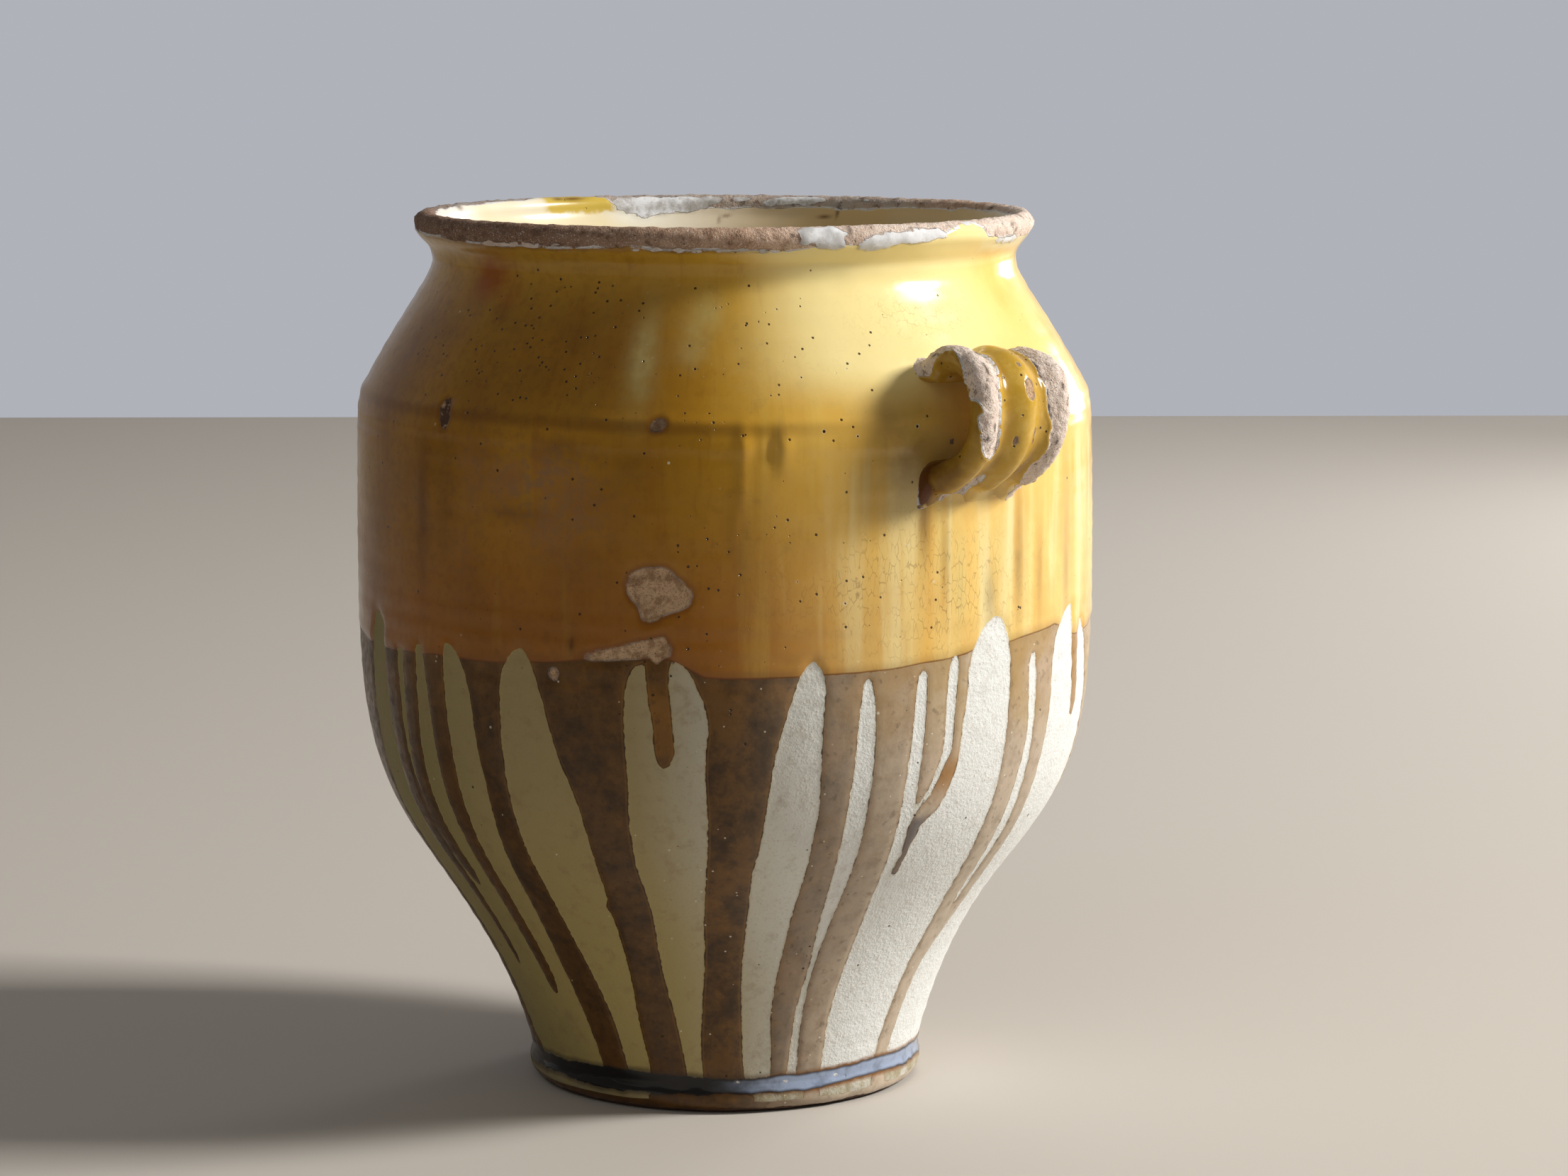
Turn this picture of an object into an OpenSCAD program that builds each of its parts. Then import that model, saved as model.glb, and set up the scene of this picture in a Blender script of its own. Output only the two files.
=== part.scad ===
// Confit pot: a wheel-thrown earthenware storage pot with two ridged strap handles.
// Origin at the centre of the foot, +Z up, handles on the X axis.

/* [Body] */
// Height from the foot to the crest of the lip
pot_h = 320; // [290:1:350]
// Diameter of the foot bead
foot_d = 145; // [125:1:165]
// Height of the foot bead up to its groove
foot_bead_h = 10.5; // [8:0.5:14]
// Depth of the groove above the foot bead
foot_groove = 1.2; // [0.5:0.1:2]
// Largest diameter of the belly
belly_d = 269; // [245:1:295]
// Height at which the belly is widest
belly_z = 174; // [155:1:190]
// Diameter at the shoulder edge
shoulder_d = 267; // [243:1:293]
// Drop from the crest of the lip to the shoulder edge
shoulder_drop = 67; // [60:1:76]
// Length of wall softened on each side of the shoulder edge
shoulder_soft = 7; // [4:0.5:10]
// Outside diameter of the neck
neck_d = 211.6; // [190:0.5:225]
// Drop from the crest of the lip to the neck
neck_drop = 18; // [15:0.5:22]
// Outside diameter of the rolled lip
lip_d = 225.2; // [204:0.5:240]
// Thickness of the rolled lip
lip_t = 9; // [7:0.2:12]
// Thickness of the thrown wall
wall = 7.5; // [6:0.5:10]
// Thickness of the floor inside
floor_t = 10; // [7:0.5:14]
// Radius between the floor and the wall inside
floor_round = 14; // [8:1:22]

/* [Handles] */
// How far the back of the strap stands out from the shoulder edge
handle_reach = 25; // [20:0.5:30]
// Width of the strap across its ridges
handle_w = 45; // [38:0.5:52]
// Thickness of the strap at its ridges
handle_t = 10; // [8:0.5:12]
// Depth of the two finger-drawn grooves
handle_groove = 3; // [1:0.2:4]
// Drop from the crest of the lip to the top of the strap
handle_drop = 41; // [37:0.5:46]
// Height from the top of the strap down to the middle of its lower end
handle_h = 47; // [42:0.5:54]
// How much wider the strap is where it is luted to the wall
luting_spread = 8; // [3:0.5:12]

/* [Hidden] */

foot_r = foot_d / 2;
belly_r = belly_d / 2;
shoulder_r = shoulder_d / 2;
shoulder_z = pot_h - shoulder_drop;
neck_r = neck_d / 2;
neck_z = pot_h - neck_drop;

// Tilt of the wall from upright where it leaves the foot, the belly and the shoulder edge
foot_tilt = 15;
belly_tilt = -2;
shoulder_tilt = -27;
// Reach of each curve's controls, as a share of the height that the curve climbs
foot_pull = 0.577;
belly_pull = 0.59;
shoulder_pull = 0.58;
neck_pull = 0.13;
flare_pull = 0.3;

// Number of points along the curves, and the degrees between points of the rolls
long_steps = 14;
short_steps = 4;
roll_step = 18;
// Number of rings along the strap's short end and its long stretches, and of points across its ridges
end_rings = 6;
back_rings = 9;
ridge_points = 16;

function bez(a, b, c, d, t) =
    pow(1 - t, 3) * a + 3 * pow(1 - t, 2) * t * b + 3 * (1 - t) * t * t * c + t * t * t * d;
// Points of a cubic curve, without its last one
function curve(a, b, c, d, steps) = [for (i = [0 : steps - 1]) bez(a, b, c, d, i / steps)];
function arc(centre, r, from, to, step) = [for (a = [from : step : to]) centre + r * [cos(a), sin(a)]];
function lean(angle) = [sin(angle), cos(angle)];
function reversed(list) = [for (i = [len(list) - 1 : -1 : 0]) list[i]];
function unit(v) = v / norm(v);
function along(list, i) = unit(list[min(i + 1, len(list) - 1)] - list[max(i - 1, 0)]);

// Wall line from above the foot bead, out over the belly and in to the neck
wall_foot = [foot_r - 0.3, foot_bead_h + 3.5];
wall_belly = [belly_r, belly_z];
wall_edge = [shoulder_r, shoulder_z];
wall_neck = [neck_r, neck_z];
edge_below = wall_edge - shoulder_soft * lean(belly_tilt);
edge_above = wall_edge + shoulder_soft * lean(shoulder_tilt);
rise = wall_belly.y - wall_foot.y;
climb = edge_below.y - wall_belly.y;
slope = wall_neck.y - edge_above.y;
wall_line = concat(
    curve(wall_foot, wall_foot + foot_pull * rise * lean(foot_tilt),
          wall_belly - belly_pull * rise * lean(0), wall_belly, long_steps),
    curve(wall_belly, wall_belly + climb / 3 * lean(0),
          edge_below - climb / 3 * lean(belly_tilt), edge_below, short_steps),
    curve(edge_below, wall_edge, wall_edge, edge_above, short_steps),
    curve(edge_above, edge_above + shoulder_pull * slope * lean(shoulder_tilt),
          wall_neck - neck_pull * slope * lean(0), wall_neck, 2 * short_steps));

// Foot: flat underside, rounded bead and the groove above it
bead_r = 0.57 * foot_bead_h;
foot_line = concat(
    [[0, 0]],
    arc([foot_r - bead_r, bead_r], bead_r, -90, 30, roll_step),
    [[foot_r - foot_groove, foot_bead_h]]);

// Rolled lip, flaring from the neck outside and falling back to it inside
roll_r = lip_t / 2;
roll_centre = [lip_d / 2 - roll_r, pot_h - roll_r];
roll_from = -40;
roll_to = 185;
lip_out = roll_centre + roll_r * [cos(roll_from), sin(roll_from)];
lip_in = roll_centre + roll_r * [cos(roll_to), sin(roll_to)];
inner_neck = wall_neck - [wall, 0];
flare = flare_pull * neck_drop;
lip_line = concat(
    curve(wall_neck, wall_neck + flare * lean(0), lip_out - flare * lean(-roll_from), lip_out, short_steps),
    arc(roll_centre, roll_r, roll_from, roll_to - 1, roll_step),
    curve(lip_in, lip_in - flare * lean(roll_to - 180), inner_neck + flare * lean(0), inner_neck, short_steps));

// Inside: the wall line moved in by the wall's thickness, down to a rounded corner at the floor
inner_line = [for (i = [0 : len(wall_line) - 1])
    let (d = along(wall_line, i)) wall_line[i] + wall * [-d.y, d.x]];
corner_z = floor_t + floor_round;
inner_wall = [for (p = inner_line) if (p.y > corner_z + 2) p];
corner_x = inner_wall[0].x - (inner_wall[0].y - corner_z) * tan(foot_tilt);
corner_line = curve([corner_x, corner_z], [corner_x - 0.15 * floor_round, floor_t + 0.4 * floor_round],
                    [corner_x - 0.5 * floor_round, floor_t], [corner_x - 1.2 * floor_round, floor_t],
                    short_steps);
floor_edge = [corner_x - 1.2 * floor_round, floor_t];

body_outline = concat(foot_line, wall_line, lip_line, reversed(inner_wall), corner_line,
                      [floor_edge, [0, floor_t]]);

// Strap of a handle: middle line of its thickness in the X-Z plane, from the shoulder out and
// down to the belly, with both ends square to the wall and buried in it
half_t = handle_t / 2;
strap_z = pot_h - handle_drop - half_t;
root_z = strap_z - 6;
foot_z = strap_z + half_t - handle_h;
grip = 0.55 * wall;
function wall_x(z) = lookup(z, [for (p = wall_line) [p.y, p.x]]);
function out_of_wall(z) = unit([2 * end_span, wall_x(z - end_span) - wall_x(z + end_span)]);
end_span = 4;
root_out = out_of_wall(root_z);
foot_out = out_of_wall(foot_z);
strap_root = [wall_x(root_z), root_z] - grip * root_out;
strap_foot = [wall_x(foot_z), foot_z] - grip * foot_out;
strap_top = [shoulder_r + 3, strap_z];
strap_back = [shoulder_r + handle_reach - half_t, strap_z - 0.36 * handle_h];
strap_line = concat(
    curve(strap_root, strap_root + 7 * root_out, strap_top - [6, 0], strap_top, end_rings),
    curve(strap_top, strap_top + [12.5, 0], strap_back + [0, 10], strap_back, back_rings),
    curve(strap_back, strap_back - [0, 16], strap_foot + 13 * foot_out + [0, 4], strap_foot, back_rings),
    [strap_foot]);
last_ring = len(strap_line) - 1;

// How firmly the strap is pressed on the wall at a point: 1 in the wall, falling to 0 further out
function pressed(p, end) = pow(max(0, 1 - norm(p - end) / press_reach), 2);
press_reach = 22;
top_spread = 0.4;

// Section across the strap, as width and height: a roll along each edge, a ridge between, two
// finger-drawn grooves and a flat underside
function strap_section(w, t) = let (h = t / 2, roll_y = w / 2 - h) concat(
    [for (i = [0 : ridge_points]) let (u = 2 * i / ridge_points - 1)
        [roll_y * u, h - handle_groove * (1 - cos(360 * u)) / 2]],
    arc([roll_y, 0], h, 60, -90, -30),
    arc([-roll_y, 0], h, 270, 120, -30));

// One section in place: it widens towards the wall and bends there to follow the wall round
function strap_dir(i) = i == 0 ? root_out : i == last_ring ? -foot_out : along(strap_line, i);
function strap_ring(i) = let (
        p = strap_line[i], d = strap_dir(i),
        top = pressed(p, strap_root), low = pressed(p, strap_foot), s = luting_spread * max(low, top_spread * top))
    [for (q = strap_section(handle_w + s, handle_t + s / 2))
        let (bend = max(top, low) * (shoulder_r - sqrt(pow(shoulder_r, 2) - pow(q.x, 2))))
        [p.x - d.y * q.y - bend, q.x, p.y + d.x * q.y]];

module body() {
    rotate([0, 0, 90]) rotate_extrude($fn = 180) polygon(body_outline);
}

// A ring of section points at each step of the strap line, skinned into one solid
module strap() {
    n = len(strap_ring(0));
    points = [for (i = [0 : last_ring]) each strap_ring(i)];
    sides = [for (i = [0 : last_ring - 1], j = [0 : n - 1])
        let (a = i * n + j, b = i * n + (j + 1) % n) each [[a, b, b + n], [a, b + n, a + n]]];
    ends = [[for (j = [n - 1 : -1 : 0]) j], [for (j = [0 : n - 1]) last_ring * n + j]];
    polyhedron(points, concat(sides, ends), convexity = 4);
}

module handles() {
    for (turn = [0, 180]) rotate([0, 0, turn]) strap();
}

// Body and handles are fired as one piece
module pot() {
    color([0.80, 0.58, 0.16]) {
        body();
        handles();
    }
}

pot();
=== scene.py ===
import math

import bpy
import numpy as np
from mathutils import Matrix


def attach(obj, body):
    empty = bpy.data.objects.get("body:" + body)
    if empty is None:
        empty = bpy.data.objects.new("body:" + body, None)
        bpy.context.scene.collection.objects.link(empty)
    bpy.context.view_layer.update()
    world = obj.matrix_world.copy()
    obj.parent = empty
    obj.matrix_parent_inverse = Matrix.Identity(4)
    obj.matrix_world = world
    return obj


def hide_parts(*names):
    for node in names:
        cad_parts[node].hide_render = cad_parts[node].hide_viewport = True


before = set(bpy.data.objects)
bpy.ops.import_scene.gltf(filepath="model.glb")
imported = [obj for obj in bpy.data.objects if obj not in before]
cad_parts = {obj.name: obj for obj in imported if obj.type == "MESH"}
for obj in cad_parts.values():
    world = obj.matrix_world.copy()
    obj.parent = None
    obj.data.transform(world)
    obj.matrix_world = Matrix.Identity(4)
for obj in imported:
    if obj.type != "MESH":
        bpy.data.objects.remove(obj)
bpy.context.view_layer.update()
print("frame loaded")

mm = 0.001
viewTurn = -41.0  # bearing of the photographed side from +X; angles below count from that side, + to the right
edgeReach = 8.0  # mm: distances from the edge of a glaze are kept up to this


# shared shape helpers

def lean(angle):
    # a direction in the radius-height plane, tilted outwards from upright by angle
    return np.array([math.sin(math.radians(angle)), math.cos(math.radians(angle))])


def cubic(a, b, c, d, steps=24):
    # cubic curve from a to d with controls b and c, as steps points without the last
    t = np.linspace(0, 1, steps, endpoint=False)[:, None]
    a, b, c, d = (np.asarray(p, float) for p in (a, b, c, d))
    return (1 - t) ** 3 * a + 3 * (1 - t) ** 2 * t * b + 3 * (1 - t) * t * t * c + t ** 3 * d


def arcPoints(centre, radius, start, end, steps=24):
    # points of a circle about centre, from the start angle to the end angle
    a = np.radians(np.linspace(start, end, steps))
    return np.asarray(centre) + radius * np.stack([np.cos(a), np.sin(a)], -1)


def lengths(line):
    # distance along a line at each of its points
    return np.r_[0, np.cumsum(np.hypot(*np.diff(line, axis=0).T))]


def spaced(line, step):
    # the same line with its points about step apart
    run = lengths(line)
    at = np.linspace(0, run[-1], max(2, int(round(run[-1] / step)) + 1))
    return np.stack([np.interp(at, run, line[:, k]) for k in (0, 1)], -1)


def ease(value, low, high):
    # smooth step: 0 below low, 1 above high
    t = np.clip((value - low) / (high - low), 0, 1)
    return t * t * (3 - 2 * t)


def softNoise(around, up, cellsAround, cellsUp, seed):
    # random values from -1 to 1 on a lattice that closes round the pot, blended smoothly between its corners
    lattice = np.random.default_rng(seed).uniform(-1, 1, (cellsUp + 2, cellsAround))
    u = (around % 1.0) * cellsAround
    v = np.clip(up, 0, 1) * cellsUp
    i, j = np.floor(u).astype(int), np.floor(v).astype(int)
    fu, fv = ease(u - i, 0, 1), ease(v - j, 0, 1)
    i0, i1 = i % cellsAround, (i + 1) % cellsAround
    low = lattice[j, i0] * (1 - fu) + lattice[j, i1] * fu
    high = lattice[j + 1, i0] * (1 - fu) + lattice[j + 1, i1] * fu
    return low * (1 - fv) + high * fv


def layeredNoise(around, up, cellsAround, cellsUp, seed, layers=3):
    # soft noise with finer, weaker copies of itself added
    total = sum(softNoise(around, up, cellsAround * 2 ** k, cellsUp * 2 ** k, seed + k) / 2 ** k
                for k in range(layers))
    return total / 1.6  # brings it back to about -1 to 1


def wrapped(angle):
    # the same angle between -180 and 180 degrees
    return (angle + 180) % 360 - 180


# the turned body: sizes in mm, those of the solid with a crisper foot groove and shoulder edge

potShape = {
    "height": 320.0, "wall": 7.5, "floor": 10.0, "floorRound": 14.0,
    "footRadius": 72.5, "footBead": 10.5, "footGroove": 1.4, "footTilt": 15, "footPull": 0.577,
    "bellyRadius": 134.5, "bellyHeight": 174.0, "bellyTilt": -2, "bellyPull": 0.59,
    "shoulderRadius": 133.5, "shoulderHeight": 253.0, "shoulderTilt": -27, "shoulderSoft": 5.0,
    "shoulderPull": 0.58, "neckRadius": 105.8, "neckHeight": 302.0, "neckPull": 0.13, "flare": 0.3,
    "lipRadius": 112.6, "lipThickness": 9.0, "lipFrom": -40, "lipTo": 185,
}


def turnedLines():
    # the profile as radius and height: foot, wall, shoulder, lip and inside, each a line of close points
    s = potShape
    bead = 0.57 * s["footBead"]
    foot = np.array([s["footRadius"] - 0.3, s["footBead"] + 3.5])
    belly = np.array([s["bellyRadius"], s["bellyHeight"]])
    edge = np.array([s["shoulderRadius"], s["shoulderHeight"]])
    neck = np.array([s["neckRadius"], s["neckHeight"]])
    below = edge - s["shoulderSoft"] * lean(s["bellyTilt"])
    above = edge + s["shoulderSoft"] * lean(s["shoulderTilt"])
    rise, climb, slope = belly[1] - foot[1], below[1] - belly[1], neck[1] - above[1]
    roll = s["lipThickness"] / 2
    centre = np.array([s["lipRadius"] - roll, s["height"] - roll])
    lipOut = arcPoints(centre, roll, s["lipFrom"], s["lipTo"], 2)
    flare = s["flare"] * (s["height"] - s["neckHeight"])
    innerNeck = neck - [s["wall"], 0]
    groove = s["footRadius"] - s["footGroove"]
    footLine = np.vstack([
        [[s["footRadius"] - bead - 4, 0]],
        arcPoints([s["footRadius"] - bead, bead], bead, -90, 35),
        cubic([groove + s["footGroove"] / 2, 9.3], [groove, 10.2], [groove, 11.0], foot, 8),
        [foot]])
    wallLine = np.vstack([
        cubic(foot, foot + s["footPull"] * rise * lean(s["footTilt"]),
              belly - s["bellyPull"] * rise * lean(0), belly, 80),
        cubic(belly, belly + climb / 3 * lean(0), below - climb / 3 * lean(s["bellyTilt"]), below),
        cubic(below, edge, edge, above),
        [above]])
    shoulderLine = np.vstack([
        cubic(above, above + s["shoulderPull"] * slope * lean(s["shoulderTilt"]),
              neck - s["neckPull"] * slope * lean(0), neck, 60),
        [neck]])
    lipLine = np.vstack([
        cubic(neck, neck + flare * lean(0), lipOut[0] - flare * lean(-s["lipFrom"]), lipOut[0]),
        arcPoints(centre, roll, s["lipFrom"], s["lipTo"], 50),
        cubic(lipOut[1], lipOut[1] - flare * lean(s["lipTo"] - 180),
              innerNeck + flare * lean(0), innerNeck)[1:],
        [innerNeck]])
    outer = np.vstack([wallLine[:-1], shoulderLine])
    along = np.gradient(outer, axis=0)
    along /= np.hypot(*along.T)[:, None]
    moved = (outer + s["wall"] * np.stack([-along[:, 1], along[:, 0]], -1))[::-1]
    corner = s["floor"] + s["floorRound"]
    inner = moved[moved[:, 1] > corner + 2]
    x = inner[-1, 0] - (inner[-1, 1] - corner) * math.tan(math.radians(s["footTilt"]))
    r = s["floorRound"]
    insideLine = np.vstack([
        [innerNeck], inner[1:],
        cubic([x, corner], [x - 0.15 * r, s["floor"] + 0.4 * r], [x - 0.5 * r, s["floor"]],
              [x - 1.2 * r, s["floor"]], 12),
        [[x - 1.2 * r, s["floor"]], [0, s["floor"]]]])
    return {"foot": footLine, "wall": wallLine, "shoulder": shoulderLine, "lip": lipLine, "inside": insideLine}


potLines = turnedLines()
outerWall = np.vstack([potLines["foot"][2:], potLines["wall"][1:], potLines["shoulder"][1:]])


def wallRadius(height):
    # radius of the outside at a height
    return np.interp(height, outerWall[:, 1], outerWall[:, 0])


# the glaze pattern: angles in degrees from the photographed side, heights in mm

# cream gaps between the brown runs, each as its tip and rows of height, left side, right side
creamGaps = {
    "left_narrow": [(177, -31.6, -31.6), (172, -34.2, -30.2), (165, -35.6, -28.9), (150, -35.8, -27.2),
                    (140, -35.9, -26.2), (130, -36, -24.6), (120, -35.9, -23.3), (110, -35.9, -22.9),
                    (95, -35.9, -22.7), (83, -36, -22.9), (80.5, -36, -24.2), (78, -36, -23.1),
                    (65, -35.6, -23.2), (50, -33.6, -23.1), (40, -31.9, -23.5), (30, -30.5, -23.1),
                    (20, -29.8, -22.3), (10, -28.2, -21.3)],
    "middle_left": [(175, -8.2, -8.2), (172.5, -12.9, -6.2), (170, -14, -5.2), (165, -14.7, -4.2),
                    (158, -15, -2.8), (150, -15.1, -2.4), (140, -15, -3), (130, -14.8, -3),
                    (120, -15.2, -2.7), (105, -15.4, -2.9), (95, -15.3, -3.4), (85, -14.6, -3.9),
                    (75, -14.5, -4.4), (65, -15, -4.5), (50, -14.7, -5.3), (40, -13.4, -6),
                    (30, -12.5, -6.6), (20, -11.5, -6.8), (10, -10.9, -6.3)],
    "middle_right": [(174, 12.9, 12.9), (172, 11.9, 13.8), (168, 10.9, 14.6), (163, 10.2, 14.9),
                     (150, 8.5, 14.5), (140, 7.4, 14.5), (130, 6.8, 14.5), (120, 6.3, 14.7),
                     (110, 5.8, 14.2), (101, 5.2, 14.1), (99, 4.6, 14.1), (85, 4.5, 13.5), (70, 4.1, 12.9),
                     (60, 3.8, 12.6), (50, 3.7, 11.9), (40, 3.9, 11.6), (30, 4.4, 12), (20, 4.6, 12.9),
                     (10, 5.9, 12.6)],
    "thin": [(167, 21.4, 21.4), (165, 20.7, 22.2), (150, 20, 22.9), (135, 19.8, 22.9), (120, 19.3, 22.7),
             (100, 19.1, 22.6), (85, 19.3, 22.4), (70, 19.5, 21.7), (60, 19.8, 21.2), (50, 19.3, 20.4),
             (40, 18.2, 20.2), (30, 18.1, 20.1), (20, 17.9, 20.4), (10, 17.6, 20.7)],
    "right_sliver": [(169.5, 53.8, 53.8), (167, 52.9, 54.6), (160, 52.8, 54.9), (150, 53.3, 55.1),
                     (140, 53.9, 55.5), (130, 53.5, 55.6), (118, 53.3, 55.7), (108, 53.4, 56.2),
                     (98, 53.9, 56.3), (88, 55, 56.6), (80, 55.5, 57.1), (74, 56.5, 57.5),
                     (71, 57.2, 57.2)],
    "right_wide": [(183, 66.3, 66.3), (180, 64, 68.5), (175, 61.6, 72), (170, 60.4, 74.5),
                   (160, 59.8, 76.5), (150, 60.2, 78), (130, 59.7, 80), (110, 59.9, 82), (100, 60.2, 83),
                   (90, 61, 85), (80, 61.8, 85), (70, 61.8, 85), (62, 60, 85), (55, 58, 85),
                   (48, 56.3, 84.6), (40, 55.9, 84.4), (30, 55.2, 84.2), (20, 54.5, 84), (10, 54, 84)],
}

# the two broad gaps as closed outlines of angle and height
broadGaps = {
    "left_broad": [(-74, 10), (-74, 60), (-72.5, 120), (-71, 165), (-69.5, 178), (-67.5, 181), (-65.5, 178),
                   (-62, 171), (-59.4, 168.5), (-56, 170), (-53.2, 172.5), (-49.5, 172.5), (-46.4, 175),
                   (-44.3, 172), (-43, 167), (-41.9, 160), (-41.3, 150), (-41.1, 140), (-40.5, 130),
                   (-40.4, 120), (-40.7, 110), (-41.3, 100), (-42, 90), (-42.6, 80), (-43, 70), (-43.1, 60),
                   (-42.6, 50), (-41.2, 40), (-39.7, 30), (-38.3, 20), (-37.4, 10)],
    "right_broad": [(28.3, 10), (28.3, 20), (28, 30), (28.2, 40), (28.8, 50), (29.4, 60), (29.6, 70),
                    (29.3, 80), (29.1, 90), (28.8, 102), (28.7, 120), (28.8, 135), (29.2, 150), (29.4, 160),
                    (29.7, 166), (30.4, 168.5), (31.2, 166.5), (33, 168), (35.3, 171), (36, 172.5),
                    (37.5, 171), (39.6, 172), (41, 178), (42.5, 182), (44.6, 184.5), (46.3, 182),
                    (47.3, 177), (47.9, 170), (48.1, 160), (48.1, 150), (48.3, 130), (48.4, 115),
                    (48.2, 105), (48.8, 98), (49.8, 88), (50.8, 79), (51.6, 70), (51.7, 62), (50.9, 52),
                    (50.3, 42), (49.5, 31), (48.6, 20), (48.1, 10)],
}

# runs that end within a gap: how golden each is, then rows of height, left side, right side
runsInGaps = {
    "left_first": (0.1, [(182, -65, -60.6), (165, -65, -60.2), (150, -64.3, -60), (130, -64.2, -59.8),
                         (110, -64.2, -59.4), (90, -63.2, -59.6), (70, -62.8, -60), (52, -62.2, -60),
                         (46.5, -61, -61)]),
    "left_second": (0.15, [(182, -58.3, -54.6), (165, -58.3, -54.4), (150, -58.3, -54.6), (130, -59, -55.2),
                           (110, -60, -55.4), (95, -59.6, -55.2), (85, -58.8, -55.6), (81, -57.6, -57)]),
    "left_third": (0.2, [(180, -53, -46.2), (172, -52.7, -47.3), (165, -52.2, -47.3), (150, -51.3, -47.2),
                         (130, -51, -46.8), (110, -50.9, -47), (95, -51.2, -47.6), (80, -52.3, -48.4),
                         (65, -52.6, -48.8), (52, -51.6, -47.8), (43, -50.9, -47.4), (39.5, -49.2, -49.2)]),
    "tongue": (0.75, [(180, -12.2, -7.6), (168, -11.6, -8.3), (160, -11.4, -8.1), (152, -10.7, -7.8),
                      (145, -10.6, -7.5), (139, -10.5, -7.6), (135.3, -9.1, -9.1)]),
    "golden": (0.22, [(176, 30.5, 36.6), (169.3, 31.2, 35.4), (159.3, 31.3, 34.9), (146.4, 31.2, 34.9),
                      (137.3, 31.1, 35), (131, 31, 34), (125.9, 31, 33.4), (122.1, 31, 32.4),
                      (118.3, 31.2, 31.6)]),
    "reddish": (0.3, [(182, 36.4, 41), (172, 36.9, 39.6), (165, 36.9, 38.9), (157, 36.7, 39),
                      (148.2, 36.5, 38.3), (141.7, 36.7, 38.3), (136.5, 36.4, 38.2), (132, 35.1, 38),
                      (128.5, 34.9, 37.7), (122.3, 33.6, 36.9), (118.7, 32.4, 36.2), (115.7, 31.4, 35.5),
                      (113.9, 31.2, 34.1), (112.1, 31, 33.2), (108.2, 30.9, 33.2), (104.1, 31.2, 32.6),
                      (100.6, 31.5, 32.5), (97.8, 31, 32.3), (93.4, 30.7, 32.4), (91.4, 31.6, 32.1)]),
    "edge": (0.6, [(190, 66.5, 72), (175, 67.4, 71), (165, 67.7, 70.4), (150, 68.8, 71.6), (143, 69.2, 72),
                   (139.5, 70.6, 70.6)]),
}

# runs that go on over the foot bead, as closed outlines of angle and height
beadRuns = [
    [(-23, 10.5), (8.8, 10.5), (7, -6), (-21, -6)], [(22.8, 10.5), (27.6, 10.5), (28.4, -6), (22, -6)],
    [(46.4, 10.5), (54.5, 10.5), (52, -6), (48, -6)], [(96, 10.5), (131, 10.5), (127, -6), (99, -6)],
    [(170, 10.5), (192, 10.5), (190, -6), (174, -6)], [(236, 10.5), (262, 10.5), (259, -6), (240, -6)],
]

# where the yellow glaze ends, as angle and height
yellowEdge = [(-72, 168), (-60, 168), (-55, 168.5), (-50, 169.7), (-40, 169.3), (-35, 170), (-30, 171),
              (-25, 172), (-20, 173.5), (-15, 174), (-8, 174), (-5, 170.5), (-3, 168), (0, 167.6),
              (10, 168.2), (20, 168.5), (25, 169.3), (30, 170.2), (35, 171), (40, 172.5), (45, 173.6),
              (50, 174.6), (55, 175.5), (60, 176.6), (65, 173), (68, 171), (72, 170.6), (100, 173),
              (130, 168), (160, 171), (190, 175), (220, 170), (250, 172), (288, 168)]

# places where the glaze has broken away, as closed outlines of angle and height
chips = {
    "large": [(-14.7, 200.0), (-14.2, 202.4), (-13.9, 204.3), (-12.4, 205.2), (-11.9, 206.3), (-10.2, 206),
              (-9.2, 206.7), (-7.6, 205.2), (-7.1, 203), (-6.2, 202.2), (-5.8, 200.2), (-4.7, 199.2),
              (-4.6, 196.1), (-4.9, 193.8), (-5.6, 192), (-7.1, 191), (-9.2, 189.3), (-10.2, 187.3),
              (-11.9, 187), (-12.4, 189.3), (-12.6, 192.8), (-13.6, 194.5), (-14.2, 196.2)],
    "strip": [(-21.4, 175.1), (-20.9, 173.4), (-19, 173), (-16.4, 173.6), (-13.2, 174.3), (-10.9, 175),
              (-10.6, 172.9), (-9.6, 172.6), (-9.2, 174.7), (-7.9, 175.4), (-7.6, 177.8), (-8.1, 180.1),
              (-8.7, 182.7), (-9.9, 182.1), (-12.2, 180.8), (-14.8, 179.4), (-16.9, 177.7), (-19, 177.1),
              (-20.3, 175.7)],
    "round": [(-27, 169.1), (-26.7, 166.2), (-25.9, 164.9), (-25.1, 166.5), (-25.2, 169.4), (-26, 170.5)],
    "foot_left": [(1.9, 11.9), (3.0, 12.7), (4.4, 12), (3.4, 11.1)],
    "foot_middle": [(15.9, 11.1), (17.1, 11.9), (18.5, 11.2), (17.3, 10.4)],
    "foot_right": [(32.2, 11.3), (33.4, 12.1), (34.8, 11.4), (33.6, 10.6)],
    "shoulder_mark": [(-11.1, 254.7), (-10.2, 256.5), (-8.9, 256.7), (-8.4, 254.4), (-9.2, 252.1),
                      (-10.7, 252)],
    "near_handle": [(35.0, 246.6), (35.4, 247.6), (36.0, 247.2), (35.9, 245.4), (35.3, 245)],
    "left_scar": [(-48.4, 258.3), (-47.2, 260.2), (-45.5, 256), (-45.9, 249.5), (-47.2, 248.6), (-48, 254)],
    "behind": [(148, 196), (149, 201), (153, 203), (157, 200.5), (156, 195), (152, 192.6)],
    "behind_low": [(212, 60), (213, 66), (218, 68), (221, 63), (217, 58)],
}

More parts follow.
